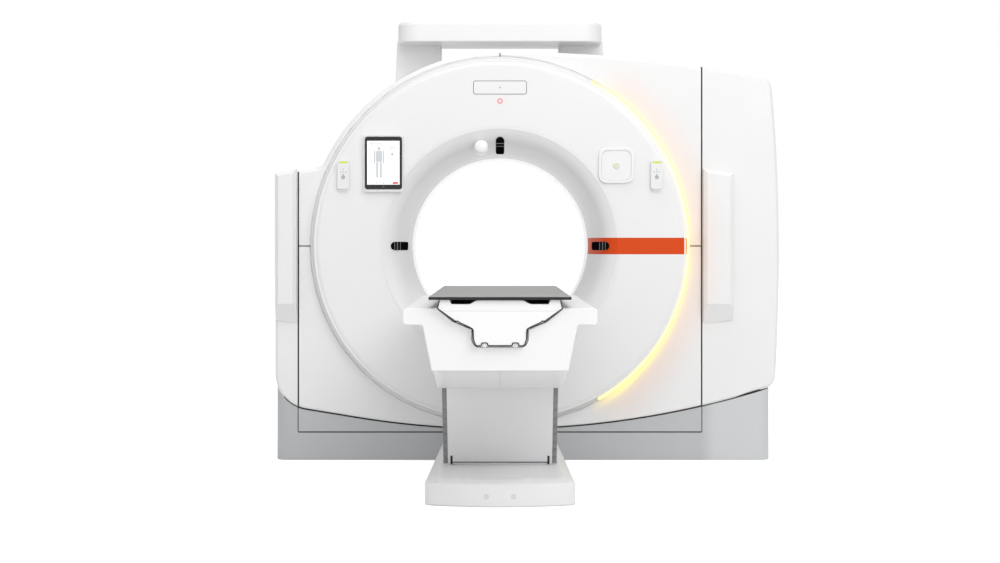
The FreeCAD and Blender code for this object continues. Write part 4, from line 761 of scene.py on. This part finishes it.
class SCANNER_OT_covers(bpy.types.Operator):
    """Round the edges of the gantry's white covers."""

    bl_idname = "scanner.covers"
    bl_label = "Gantry covers"

    def execute(self, context):
        width = context.scene.scanner_sizes.cover_round
        # These covers carry the painted halo of the guide's light.
        lit = ("front_cover_upper_right", "front_cover_lower_right", "side_cover_right_front")
        shells = {
            "front_cover_upper_left": {"mouth": 0.016, "clamp": True},
            "front_cover_upper_right": {"mouth": 0.016},
            "front_cover_lower_left": {"mouth": 0.016},
            "front_cover_lower_right": {"mouth": 0.016},
            "rear_covers": {"mouth": 0.0003},
            "side_cover_left_front": {"clamp": True},
            "side_cover_left_rear": {"clamp": True},
            "side_cover_right_front": {"clamp": True, "form": right_form},
            "side_cover_right_rear": {"clamp": True, "form": right_form},
        }
        for node, shape in shells.items():
            finish = FINISHES["cover_lit" if node in lit else "cover"]
            recast(node, node + "_shell", finish, width, **shape)
        bridge = cast(
            "top_bridge", "top_bridge_shell", width, form=bridge_form,
            fillet=(opening_corner, 0.025),
        )
        plugs = {
            "bridge_end": (0.4943, 2.0325, (0.0082, 0.160, 0.081)),
            "bridge_ledge": (0.4995, 2.0005, (0.0180, 0.152, 0.0102)),
        }
        ends = []
        for side in (1, -1):
            for name, (x, z, size) in plugs.items():
                ends.append(slab(name, (side * x, 0.354, z), size))
        joined(bridge, ends)
        stand_for(bridge, FINISHES["cover"], "top_bridge")
        dress(frame["nodes"]["cover_seals"], FINISHES["seal"])
        return {"FINISHED"}


class SCANNER_OT_plinth(bpy.types.Operator):
    """Finish the grey plinth and its kick panels."""

    bl_idname = "scanner.plinth"
    bl_label = "Plinth"

    def execute(self, context):
        recast("plinth", "plinth_shell", FINISHES["plinth"], 0.002)
        recast("kick_panels", "kick_panel_shells", FINISHES["kick"], 0.0015)
        return {"FINISHED"}


class SCANNER_OT_disc(bpy.types.Operator):
    """Spin the front and rear discs and the funnels of the bore."""

    bl_idname = "scanner.disc"
    bl_label = "Discs and funnels"

    def execute(self, context):
        sizes = context.scene.scanner_sizes
        front = turned("front_disc", eased([
            (0.5520, FACE), (0.700, FACE), (0.80, FACE), (DISC, FACE, sizes.disc_round),
            (DISC, -0.440), (FLANK, -0.440), (FLANK, FACE + WALL), (0.5520, FACE + WALL),
        ], 12))
        drop_chin(front)
        polish(front)
        stand_for(front, FINISHES["disc"], "gantry_ring_front")
        funnel = turned("front_funnel", eased([
            (0.5517, FACE), (0.540, FACE, 0.004), (0.480, -0.490, sizes.lip_round),
            (BORE, -0.300, sizes.throat_round), (BORE, -0.0135), (LINER, -0.0135),
            (0.445, -0.250), (0.5517, FACE + WALL),
        ], 12))
        polish(funnel)
        stand_for(funnel, FINISHES["funnel"], "bore_funnel_front")
        rear = turned("rear_disc", eased([
            (0.5320, BACK), (0.5320, 0.494), (FLANK, 0.494), (FLANK, 0.452), (DISC, 0.452),
            (DISC, BACK, 0.012), (0.70, BACK),
        ]))
        drop_chin(rear)
        polish(rear)
        stand_for(rear, FINISHES["funnel"], "gantry_ring_rear")
        back = turned("rear_funnel", eased([
            (0.5317, BACK), (0.5317, 0.494), (0.437, 0.430), (LINER, 0.0135), (BORE, 0.0135),
            (BORE, 0.430, 0.11), (0.520, BACK, 0.02),
        ], 12))
        polish(back)
        stand_for(back, FINISHES["tunnel"], "bore_funnel_rear")
        window = turned("scan_window_ring", [
            (BORE, -0.0128), (0.4262, -0.0128), (0.4262, -0.010), (0.437, -0.010),
            (0.437, 0.010), (0.4262, 0.010), (0.4262, 0.0128), (BORE, 0.0128),
        ])
        smooth(window)
        stand_for(window, rubbery("scan_window_film", (0.20, 0.20, 0.20), 0.5), "scan_window")
        return {"FINISHED"}


class SCANNER_OT_light(bpy.types.Operator):
    """Spin the light guide and the pale gasket that closes its groove."""

    bl_idname = "scanner.light"
    bl_label = "Light guide"

    def execute(self, context):
        section = [
            (0.861, -0.4425), (0.861, -0.454), (0.863, -0.456), (0.876, -0.456),
            (GUIDE, -0.454), (GUIDE, -0.4425),
        ]
        lean = radians(61)
        sweeps = {
            "light_guide_ring": (True, "guide", "light_ring"),
            "groove_gasket_ring": (False, "groove", "groove_gasket"),
        }
        for name, (lit, finish, node) in sweeps.items():
            ring = turned(name, section, 240)
            edit(ring, False)
            for side in (1, -1):
                pick_all()
                normal = (sin(lean), 0, -side * cos(lean))
                bpy.ops.mesh.bisect(plane_co=(0, 0, ISO), plane_no=normal)
            shell = bmesh.from_edit_mesh(ring.data)
            spare = []
            for face in shell.faces:
                spot = face.calc_center_median()
                right = spot.x / hypot(spot.x, spot.z - ISO) > cos(lean)
                if right != lit:
                    spare.append(face)
            bmesh.ops.delete(shell, geom=spare, context="FACES")
            bmesh.update_edit_mesh(ring.data)
            pick_all()
            bpy.ops.mesh.fill_holes(sides=0)
            close_up()
            drop_chin(ring)
            smooth(ring)
            stand_for(ring, FINISHES[finish], node)
        return {"FINISHED"}


class SCANNER_OT_lasers(bpy.types.Operator):
    """Lay the black laser windows and the accent band on the disc."""

    bl_idname = "scanner.lasers"
    bl_label = "Laser windows and band"
    AHEAD = -0.56
    WIDE, TALL = 0.039, 0.071
    CAP, FOOT = 0.0195, 0.006

    def execute(self, context):
        glass = Finish("laser_glass", (0.004, 0.004, 0.005), 0.5, specular_ior_level=0.0)
        away, dx, dz = glass.away()
        side = (abs(dx) - abs(dz)).above(0.0)
        lens = abs(away - 0.474).ramp(0.0012, 0.0022, 1.0, 0.0)
        lens = lens + abs(away - 0.462).ramp(0.0008, 0.0016, 1.0, 0.0)
        lens = lens + abs(away - 0.486).ramp(0.0008, 0.0016, 1.0, 0.0) * side
        dust = glass.noise(60.0, 2.0)
        tone = glass.mix((0.004, 0.004, 0.005), (0.30, 0.31, 0.32), lens.lesser(1.0) * 0.7)
        glass.paint(tone)
        glass.set("Roughness", dust * 0.08 + 0.06)
        turns = {"top": 0.0, "left": 90.0, "right": -90.0}
        windows = [self.pane("laser_window_" + label, turn) for label, turn in turns.items()]
        joined(windows[0], windows[1:])
        stand_for(named("laser_window_panes"), glass, "laser_windows")
        paths = []
        for lift in (0.0006, 0.0001):
            paths.append(eased([
                (BORE - lift, -0.0150), (BORE - lift, -0.300 - lift, THROAT_ROUND),
                (0.480 - lift, -0.490 - lift, LIP_ROUND), (0.540, FACE - lift, 0.004),
                (DISC + lift, FACE - lift, DISC_ROUND), (DISC + lift, -0.470),
            ], 12))
        sweep = radians(11)
        band = turned("accent_band_film", paths[0] + paths[1][::-1], 14, sweep=sweep)
        rise = sum(corner.co.z - ISO for corner in band.data.vertices)
        centre = Matrix.Translation((0, 0, ISO))
        turn = Matrix.Rotation(copysign(sweep / 2, rise), 4, "Y")
        band.data.transform(centre @ turn @ centre.inverted())
        edit(band)
        for side in (1, -1):
            pick_all()
            bpy.ops.mesh.bisect(
                plane_co=(0, 0, ISO + side * 0.038), plane_no=(0, 0, side), use_fill=True,
                clear_outer=True,
            )
        close_up()
        smooth(band, 50)
        stand_for(band, FINISHES["band"], "accent_band")
        return {"FINISHED"}

    def pane(self, name, turn):
        """A window with a round top and eased foot, laid on the funnel at a turn."""
        alone()
        bpy.ops.mesh.primitive_grid_add(
            x_subdivisions=14, y_subdivisions=34, size=1.0,
            location=(0.0, self.AHEAD, ISO + WINDOW_RISE), rotation=(radians(90), 0.0, 0.0),
        )
        pane = named(name)
        settle(pane)
        for corner in pane.data.vertices:
            u = corner.co.x * self.WIDE
            v = (corner.co.z - ISO - WINDOW_RISE) * self.TALL
            cap = max(0.0, v - self.TALL / 2 + self.CAP) / self.CAP
            low = max(0.0, -self.TALL / 2 + self.FOOT - v) / self.FOOT
            pinch = sqrt(max(0.0, 1 - min(1.0, cap) ** 2))
            pinch = min(pinch, 1 - 0.3 * (1 - sqrt(max(0.0, 1 - min(1.0, low) ** 2))))
            corner.co = (u * max(pinch, 0.02), self.AHEAD, ISO + WINDOW_RISE + v)
        centre = Matrix.Translation((0, 0, ISO))
        around = Matrix.Rotation(radians(-turn), 4, "Y")
        pane.data.transform(centre @ around @ centre.inverted())
        modify(
            pane, "SHRINKWRAP", wrap_method="PROJECT", use_project_y=True,
            use_positive_direction=True, use_negative_direction=False,
            target=bpy.data.objects["front_funnel"], offset=0.0036,
        )
        modify(pane, "SOLIDIFY", thickness=0.0012, offset=0.0)
        smooth(pane)
        return pane


class SCANNER_OT_fittings(bpy.types.Operator):
    """Finish the hatch, status ring, camera dome, docks, tablet and remotes."""

    bl_idname = "scanner.fittings"
    bl_label = "Fittings on the disc"

    def execute(self, context):
        trim = context.scene.scanner_sizes.trim_round
        white = FINISHES["small_white"]
        hatch_finish = moulded("hatch_white", (0.80, 0.80, 0.80), 0.34)
        key = hatch_finish.spot(0.0, ISO + HATCH_RISE, 0.004)
        tone = hatch_finish.mix(hatch_finish.tone, (0.40, 0.42, 0.42), key)
        hatch_finish.paint(tone)
        recast("service_hatch", "service_hatch_lid", hatch_finish, 0.0005)
        status = Finish("status_red", (0.72, 0.10, 0.12), 0.35)
        pulse = status.noise(300.0, 1.0)
        status.paint(status.mix((0.70, 0.09, 0.12), (0.80, 0.16, 0.18), pulse))
        status.glow((0.85, 0.12, 0.14), 0.25)
        ring = turned("status_ring_lens", [
            (0.008, FACE - 0.0002), (0.0086, FACE - 0.0014), (0.0119, FACE - 0.0014),
            (0.0125, FACE - 0.0002),
        ], 40, (0.0, 0.0, ISO + STATUS_RISE))
        smooth(ring)
        stand_for(ring, status, "status_ring")
        dome_finish = moulded("dome_white", (0.86, 0.86, 0.86), 0.22, 0.3)
        dome = turned("camera_dome_cap", eased([
            (0.0, -0.532), (0.033, -0.530, 0.013), (0.033, -0.440), (0.0, -0.440),
        ], 9), 56, (DOME_X, 0.0, ISO + DOME_RISE))
        for corner in dome.data.vertices:
            out = hypot(corner.co.x - DOME_X, corner.co.z - ISO - DOME_RISE)
            if corner.co.y < -0.50:
                corner.co.y += 9.0 * out**2
        smooth(dome, 50)
        stand_for(dome, dome_finish, "camera_dome")
        recast("tablet_dock", "tablet_dock_tray", white, trim * 2.2)
        plate = moulded("dock_plate_white", (0.82, 0.82, 0.82), 0.36)
        dot = plate.spot(DOCK_X, ISO + DOCK_RISE, 0.0125, 0.001)
        plate.paint(plate.mix(plate.tone, (0.62, 0.66, 0.42), dot * 0.8))
        recast("dock_plate", "dock_plate_pad", plate, trim * 2.4)
        recast("remote_holders", "remote_cradles", white, trim)
        remote = moulded("remote_white", (0.78, 0.78, 0.78), 0.40)
        tone = remote.tone
        keys = ((0.0, 0.024), (0.0, 0.0), (-0.012, 0.012), (0.012, 0.012), (0.0, 0.012))
        level = ISO + REMOTE_RISE
        for side in (-1, 1):
            across = side * REMOTE_X
            tag, _ = remote.box_mask(across, level + 0.056, 0.019, 0.0045, 0.001)
            tone = remote.mix(tone, (0.62, 0.72, 0.05), tag)
            for ux, uz in keys:
                dot = remote.spot(across + ux, level + uz, 0.0026)
                tone = remote.mix(tone, (0.30, 0.33, 0.40), dot)
        remote.paint(tone)
        recast("remotes", "remote_shells", remote, trim)
        key_finish = moulded("key_grey", (0.42, 0.44, 0.46), 0.45)
        for node in ("remote_key_left", "remote_key_right"):
            recast(node, node + "_cap", key_finish, 0.0004)
        self.tablet()
        return {"FINISHED"}

    def tablet(self):
        """A dark glass tablet that shows a plain page with a standing figure."""
        across, level = TABLET_X, ISO + TABLET_RISE
        glass = Finish("tablet_glass", (0.006, 0.006, 0.007), 0.30, specular_ior_level=0.25)
        page, _ = glass.box_mask(across, level + 0.001, 0.0745, 0.1005, 0.001)
        tone = (0.90, 0.91, 0.91)
        grey, pale = (0.16, 0.17, 0.18), (0.50, 0.52, 0.54)
        parts = [
            ((-0.020, 0.066), (0.0075, 0.0085), 0.007, pale),
            ((-0.020, 0.030), (0.0150, 0.0260), 0.008, pale),
            *(((x, -0.032), (0.0052, 0.0360), 0.004, pale) for x in (-0.028, -0.012)),
            *(((x, 0.028), (0.0036, 0.0300), 0.003, pale) for x in (-0.041, 0.001)),
            ((-0.036, 0.087), (0.0300, 0.0012), 0.001, grey),
            ((0.040, 0.070), (0.0130, 0.0010), 0.0005, grey),
            ((0.040, 0.060), (0.0130, 0.0010), 0.0005, pale),
            ((0.040, 0.040), (0.0040, 0.0040), 0.0035, grey),
            ((0.040, 0.022), (0.0130, 0.0010), 0.0005, pale),
            ((0.055, -0.092), (0.0120, 0.0045), 0.001, (0.62, 0.05, 0.03)),
            ((-0.030, -0.092), (0.0030, 0.0020), 0.001, grey),
            ((0.000, -0.092), (0.0030, 0.0020), 0.001, grey),
        ]
        for (ux, uz), (half_w, half_h), corner, ink in parts:
            mark, _ = glass.box_mask(across + ux, level + uz, half_w, half_h, corner, 0.0004)
            tone = glass.mix(tone, ink, mark)
        front = (0.0 - glass.y).above(0.5448)
        lit = page * front
        smear = glass.noise(25.0, 3.0)
        glass.paint(glass.mix((0.006, 0.006, 0.007), tone, lit))
        glass.set("Roughness", smear * 0.10 + 0.08)
        glass.glow(glass.mix(BLACK, tone, lit), 0.22)
        recast("tablet", "tablet_slab", glass, 0.0008)
        button = Finish("tablet_button", (0.02, 0.02, 0.022), 0.25)
        wear = button.noise(900.0, 2.0)
        button.set("Roughness", wear * 0.2 + 0.18)
        button.paint(button.mix((0.015, 0.015, 0.017), (0.06, 0.06, 0.065), wear))
        recast("tablet_home_button", "tablet_button_cap", button, 0.0003)


class SCANNER_OT_table(bpy.types.Operator):
    """Finish the patient table: base, swing arms, housing, cradle and top."""

    bl_idname = "scanner.table"
    bl_label = "Patient table"

    def execute(self, context):
        sizes = context.scene.scanner_sizes
        colours = context.scene.scanner_colours
        table_white = moulded("table_white", tuple(colours.cover), 0.36)
        base_white = moulded("table_base_white", shade(colours.cover, 0.99), 0.38)
        tone = base_white.tone
        for across in (-0.052, 0.052):
            dot = base_white.spot(across, 0.040, 0.011, 0.001)
            tone = base_white.mix(tone, (0.55, 0.55, 0.55), dot * 0.5)
        base_white.paint(tone)
        recast(
            "table_base_cover", "table_base_shell", base_white, 0.005, sharp=16, cuts=base_cuts(),
            form=base_form,
        )
        dress(frame["nodes"]["table_base_plate"], FINISHES["steel_enamel"])
        recast("table_housing", "table_housing_shell", table_white, 0.004)
        recast("housing_bellies", "housing_belly_shells", table_white, 0.003)
        column = Finish("column_satin", tuple(colours.column), 0.36)
        brushed = column.noise(700.0, 2.0, (1.0, 0.04, 0.04))
        cloud = column.noise(4.0, 2.0)
        column.tone = column.mix(
            shade(colours.column, 0.92), shade(colours.column, 1.06), brushed * 0.5 + cloud * 0.5
        )
        column.set("Roughness", brushed * 0.16 + 0.30)
        column.bump(brushed, 0.05, 0.0002)
        # Painted shadow: a black line along the panel's foot and in the upright slots at its ends,
        # where it sits in the base.
        foot = abs(column.z - 0.128).below(0.0022) * abs(column.x).below(0.190)
        slots = abs(abs(column.x) - 0.193).below(0.0045) * column.z.below(0.156)
        dark = (foot + slots).lesser(1.0)
        column.paint(column.mix(column.tone, (0.01, 0.01, 0.01), dark))
        recast("column_panel", "column_sheet", column, 0.0)
        pleat = rubbery("gaiter_grey", (0.22, 0.22, 0.225), 0.6)
        recast("side_gaiters", "side_gaiter_pleats", pleat, 0.0012)
        for node in ("swing_arm_front", "swing_arm_rear"):
            recast(node, node + "_forging", FINISHES["arm_enamel"], 0.002, clamp=True)
        shell = moulded("cradle_white", (0.84, 0.84, 0.84), 0.34)
        # Painted shade: a grey line along the step on the cradle's end.
        step = (abs(shell.z - 0.758)).ramp(0.0006, 0.0016, 1.0, 0.0) * (0.0 - shell.y).above(2.785)
        shell.paint(shell.mix(shell.tone, (0.45, 0.45, 0.45), step * 0.5))
        across = upright_cuts(0.074, 0.081, 0.086, 0.092, 0.098, 0.104, 0.110, 0.116, 0.122)
        recast("cradle", "cradle_shell", shell, 0.0012, cuts=across, form=cradle_form)
        # Painted shadow: a dark strip round the cradle's end.
        self.shadow_strip(sizes.shadow_strip)
        board = Finish("board_grey", tuple(colours.overlay), 0.5, specular_ior_level=0.25)
        weave = (board.x + board.y).wave(1500.0) * (board.x - board.y).wave(1500.0)
        cloud = board.noise(5.0, 2.0)
        # Painted shade: below its flat top the board is painted near-black, as its sides and
        # underside lie in shade; the top keeps its grey weave.
        flat = board.z.above(0.8080)
        dark = board.mix((0.010, 0.010, 0.011), (0.022, 0.022, 0.024), cloud)
        pale, deep = shade(colours.overlay, 1.05), shade(colours.overlay, 0.92)
        top = board.mix(deep, pale, weave * 0.25 + cloud * 0.5)
        board.paint(board.mix(dark, top, flat))
        board.set("Roughness", weave * 0.05 + 0.52)
        board.bump(weave, 0.04, 0.0002)
        recast("flat_overlay", "flat_board", board, 0.0009, form=board_form)
        return {"FINISHED"}

    def shadow_strip(self, thick):
        """A dark strip round the cradle's end, put there as painted shadow for the gap."""
        y = -2.7885
        half = [
            (0.2165, 0.7955), (0.2232, 0.7665), (0.1640, 0.7245), (0.1560, 0.7195),
            (0.1520, 0.7235), (0.1460, 0.7172), (0.1062, 0.6990), (0.0958, 0.6915),
            (0.0948, 0.6560), (0.0862, 0.6340), (0.0660, 0.6340), (0.0660, 0.6440),
            (0.0440, 0.6440), (0.0440, 0.6340),
        ]
        outline = [(x, y, z) for x, z in half] + [(-x, y, z) for x, z in half[::-1]]
        rim = loop("cradle_shadow_strip", outline)
        edit(rim, False)
        shell = bmesh.from_edit_mesh(rim.data)
        for edge in shell.edges:
            edge.select = all(v.co.z > 0.79 for v in edge.verts)
        bpy.ops.mesh.delete(type="EDGE")
        pick_all()
        bpy.ops.mesh.bevel(offset=0.004, segments=4, affect="VERTICES")
        done()
        alone(rim)
        bpy.ops.object.convert(target="CURVE")
        rim.data.bevel_depth = thick / 2
        rim.data.bevel_resolution = 3
        rim.data.use_fill_caps = True
        alone(rim)
        bpy.ops.object.convert(target="MESH")
        rim = bpy.context.object
        smooth(rim, 60)
        dress(rim, FINISHES["seal"])
        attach(rim, "cradle_slider")


class SCANNER_OT_works(bpy.types.Operator):
    """Finish the steel, copper and enamelled works inside."""

    bl_idname = "scanner.works"
    bl_label = "Inner works"

    def execute(self, context):
        finishes = {
            "steel_enamel": ("gantry_frame", "rotor_drum", "table_frame"),
            "ground_steel": ("main_bearing", "drive_wheel", "foot_pivots", "slide_rails"),
            "copper": ("slip_ring",),
            "unit_enamel": (
                "brush_block", "xray_tube", "collimator", "detector_arc", "hv_generator",
                "tube_cooler", "drive_motor", "lift_motor",
            ),
        }
        for finish, nodes in finishes.items():
            for node in nodes:
                dress(frame["nodes"][node], FINISHES[finish])
        return {"FINISHED"}


class SCANNER_OT_stage(bpy.types.Operator):
    """Set the floor, the soft studio light and the camera."""

    bl_idname = "scanner.stage"
    bl_label = "Stage"
    FLOOR_LIFT = 0.60
    WORLD_LIGHT = 0.68

    def execute(self, context):
        scene = context.scene
        scene.view_settings.view_transform = "Standard"
        self.floor()
        self.world(scene)
        # Name, place, aim, width in metres and power in watts.
        self.lamp("main_light", (2.6, -6.2, 4.4), (0.1, -0.4, 1.0), 4.0, 165)
        self.lamp("front_light", (-1.6, -9.0, 0.9), (0.0, -0.6, 0.7), 4.0, 75)
        self.lamp("top_light", (-0.6, -1.6, 5.2), (0.0, -0.6, 0.9), 3.6, 60)
        self.lamp("back_light", (1.0, 5.0, 4.0), (0.0, 0.3, 1.0), 3.5, 55)
        camera = bpy.data.cameras.new("camera")
        camera.lens = 79.2
        camera.sensor_width = 36
        camera.shift_y = -0.0355
        camera.clip_end = 200
        stand = bpy.data.objects.new("camera", camera)
        stand.location = (0.0, -10.637, 0.990)
        stand.rotation_euler = (radians(90), 0.0, 0.0)
        scene.collection.objects.link(stand)
        scene.camera = stand
        return {"FINISHED"}

    def floor(self):
        """A plain pale floor that keeps the object's shadow."""
        alone()
        bpy.ops.mesh.primitive_grid_add(
            x_subdivisions=8, y_subdivisions=8, size=120, location=(0, 0, -0.0015)
        )
        floor = named("floor")
        settle(floor)
        material = bpy.data.materials.new("floor_white")
        tree = emptied(material)
        path = self.wire(tree, "LightPath", {})
        seen = self.brighter(tree, path, "Is Camera Ray", "Is Glossy Ray")
        scale = self.wire(tree, "Math", {0: seen, 1: self.FLOOR_LIFT}, operation="MULTIPLY")
        matt = self.wire(tree, "BsdfDiffuse", {"Color": (0.80, 0.80, 0.80, 1)})
        lift = self.wire(tree, "Emission", {"Strength": scale.outputs[0]})
        add = self.wire(tree, "AddShader", {0: matt.outputs[0], 1: lift.outputs[0]})
        self.wire(tree, "OutputMaterial", {0: add.outputs[0]})
        floor.data.materials.append(material)

    def world(self, scene):
        """Soft light all round, and plain white where the camera sees it."""
        scene.world = bpy.data.worlds.new("studio")
        tree = emptied(scene.world)
        path = self.wire(tree, "LightPath", {})
        seen = self.brighter(tree, path, "Is Camera Ray", "Is Transmission Ray")
        shades = []
        for strength in (self.WORLD_LIGHT, 1.0):
            inputs = {"Color": (1, 1, 1, 1), "Strength": strength}
            shades.append(self.wire(tree, "Background", inputs).outputs[0])
        mix = self.wire(tree, "MixShader", {0: seen, 1: shades[0], 2: shades[1]})
        self.wire(tree, "OutputWorld", {0: mix.outputs[0]})

    def wire(self, tree, kind, inputs, **settings):
        """A node of the stage, with its sockets set or linked."""
        node = tree.nodes.new("ShaderNode" + kind)
        for key, amount in settings.items():
            setattr(node, key, amount)
        for key, amount in inputs.items():
            if isinstance(amount, bpy.types.NodeSocket):
                tree.links.new(amount, node.inputs[key])
            else:
                node.inputs[key].default_value = amount
        return node

    def brighter(self, tree, path, first, second):
        """1 for either kind of ray."""
        rays = {0: path.outputs[first], 1: path.outputs[second]}
        return self.wire(tree, "Math", rays, operation="MAXIMUM").outputs[0]

    def lamp(self, name, place, aim, size, power):
        """A square area lamp that faces aim."""
        light = bpy.data.lights.new(name, "AREA")
        light.size = size
        light.energy = power
        lamp = bpy.data.objects.new(name, light)
        lamp.location = place
        lamp.rotation_euler = (Vector(aim) - Vector(place)).to_track_quat("-Z", "Y").to_euler()
        bpy.context.scene.collection.objects.link(lamp)


class SCANNER_PT_panel(bpy.types.Panel):
    """The scanner's steps, sizes and colours."""

    bl_idname = "SCANNER_PT_panel"
    bl_label = "Ring scanner"
    bl_space_type = "VIEW_3D"
    bl_region_type = "UI"
    bl_category = "Scanner"

    def draw(self, context):
        layout = self.layout
        for step in STEPS:
            layout.operator(step.bl_idname)
        for group in (context.scene.scanner_sizes, context.scene.scanner_colours):
            for name in group.__annotations__:
                layout.prop(group, name)


STEPS = (
    SCANNER_OT_finishes,
    SCANNER_OT_covers,
    SCANNER_OT_plinth,
    SCANNER_OT_disc,
    SCANNER_OT_light,
    SCANNER_OT_lasers,
    SCANNER_OT_fittings,
    SCANNER_OT_table,
    SCANNER_OT_works,
    SCANNER_OT_stage,
)
CLASSES = (ScannerSizes, ScannerColours, *STEPS, SCANNER_PT_panel)


def register():
    for item in CLASSES:
        bpy.utils.register_class(item)
    bpy.types.Scene.scanner_sizes = PointerProperty(type=ScannerSizes)
    bpy.types.Scene.scanner_colours = PointerProperty(type=ScannerColours)


def unregister():
    del bpy.types.Scene.scanner_sizes
    del bpy.types.Scene.scanner_colours
    for item in reversed(CLASSES):
        bpy.utils.unregister_class(item)


def main():
    register()
    for step in STEPS:
        group, name = step.bl_idname.split(".")
        getattr(getattr(bpy.ops, group), name)()


if __name__ == "__main__":
    main()
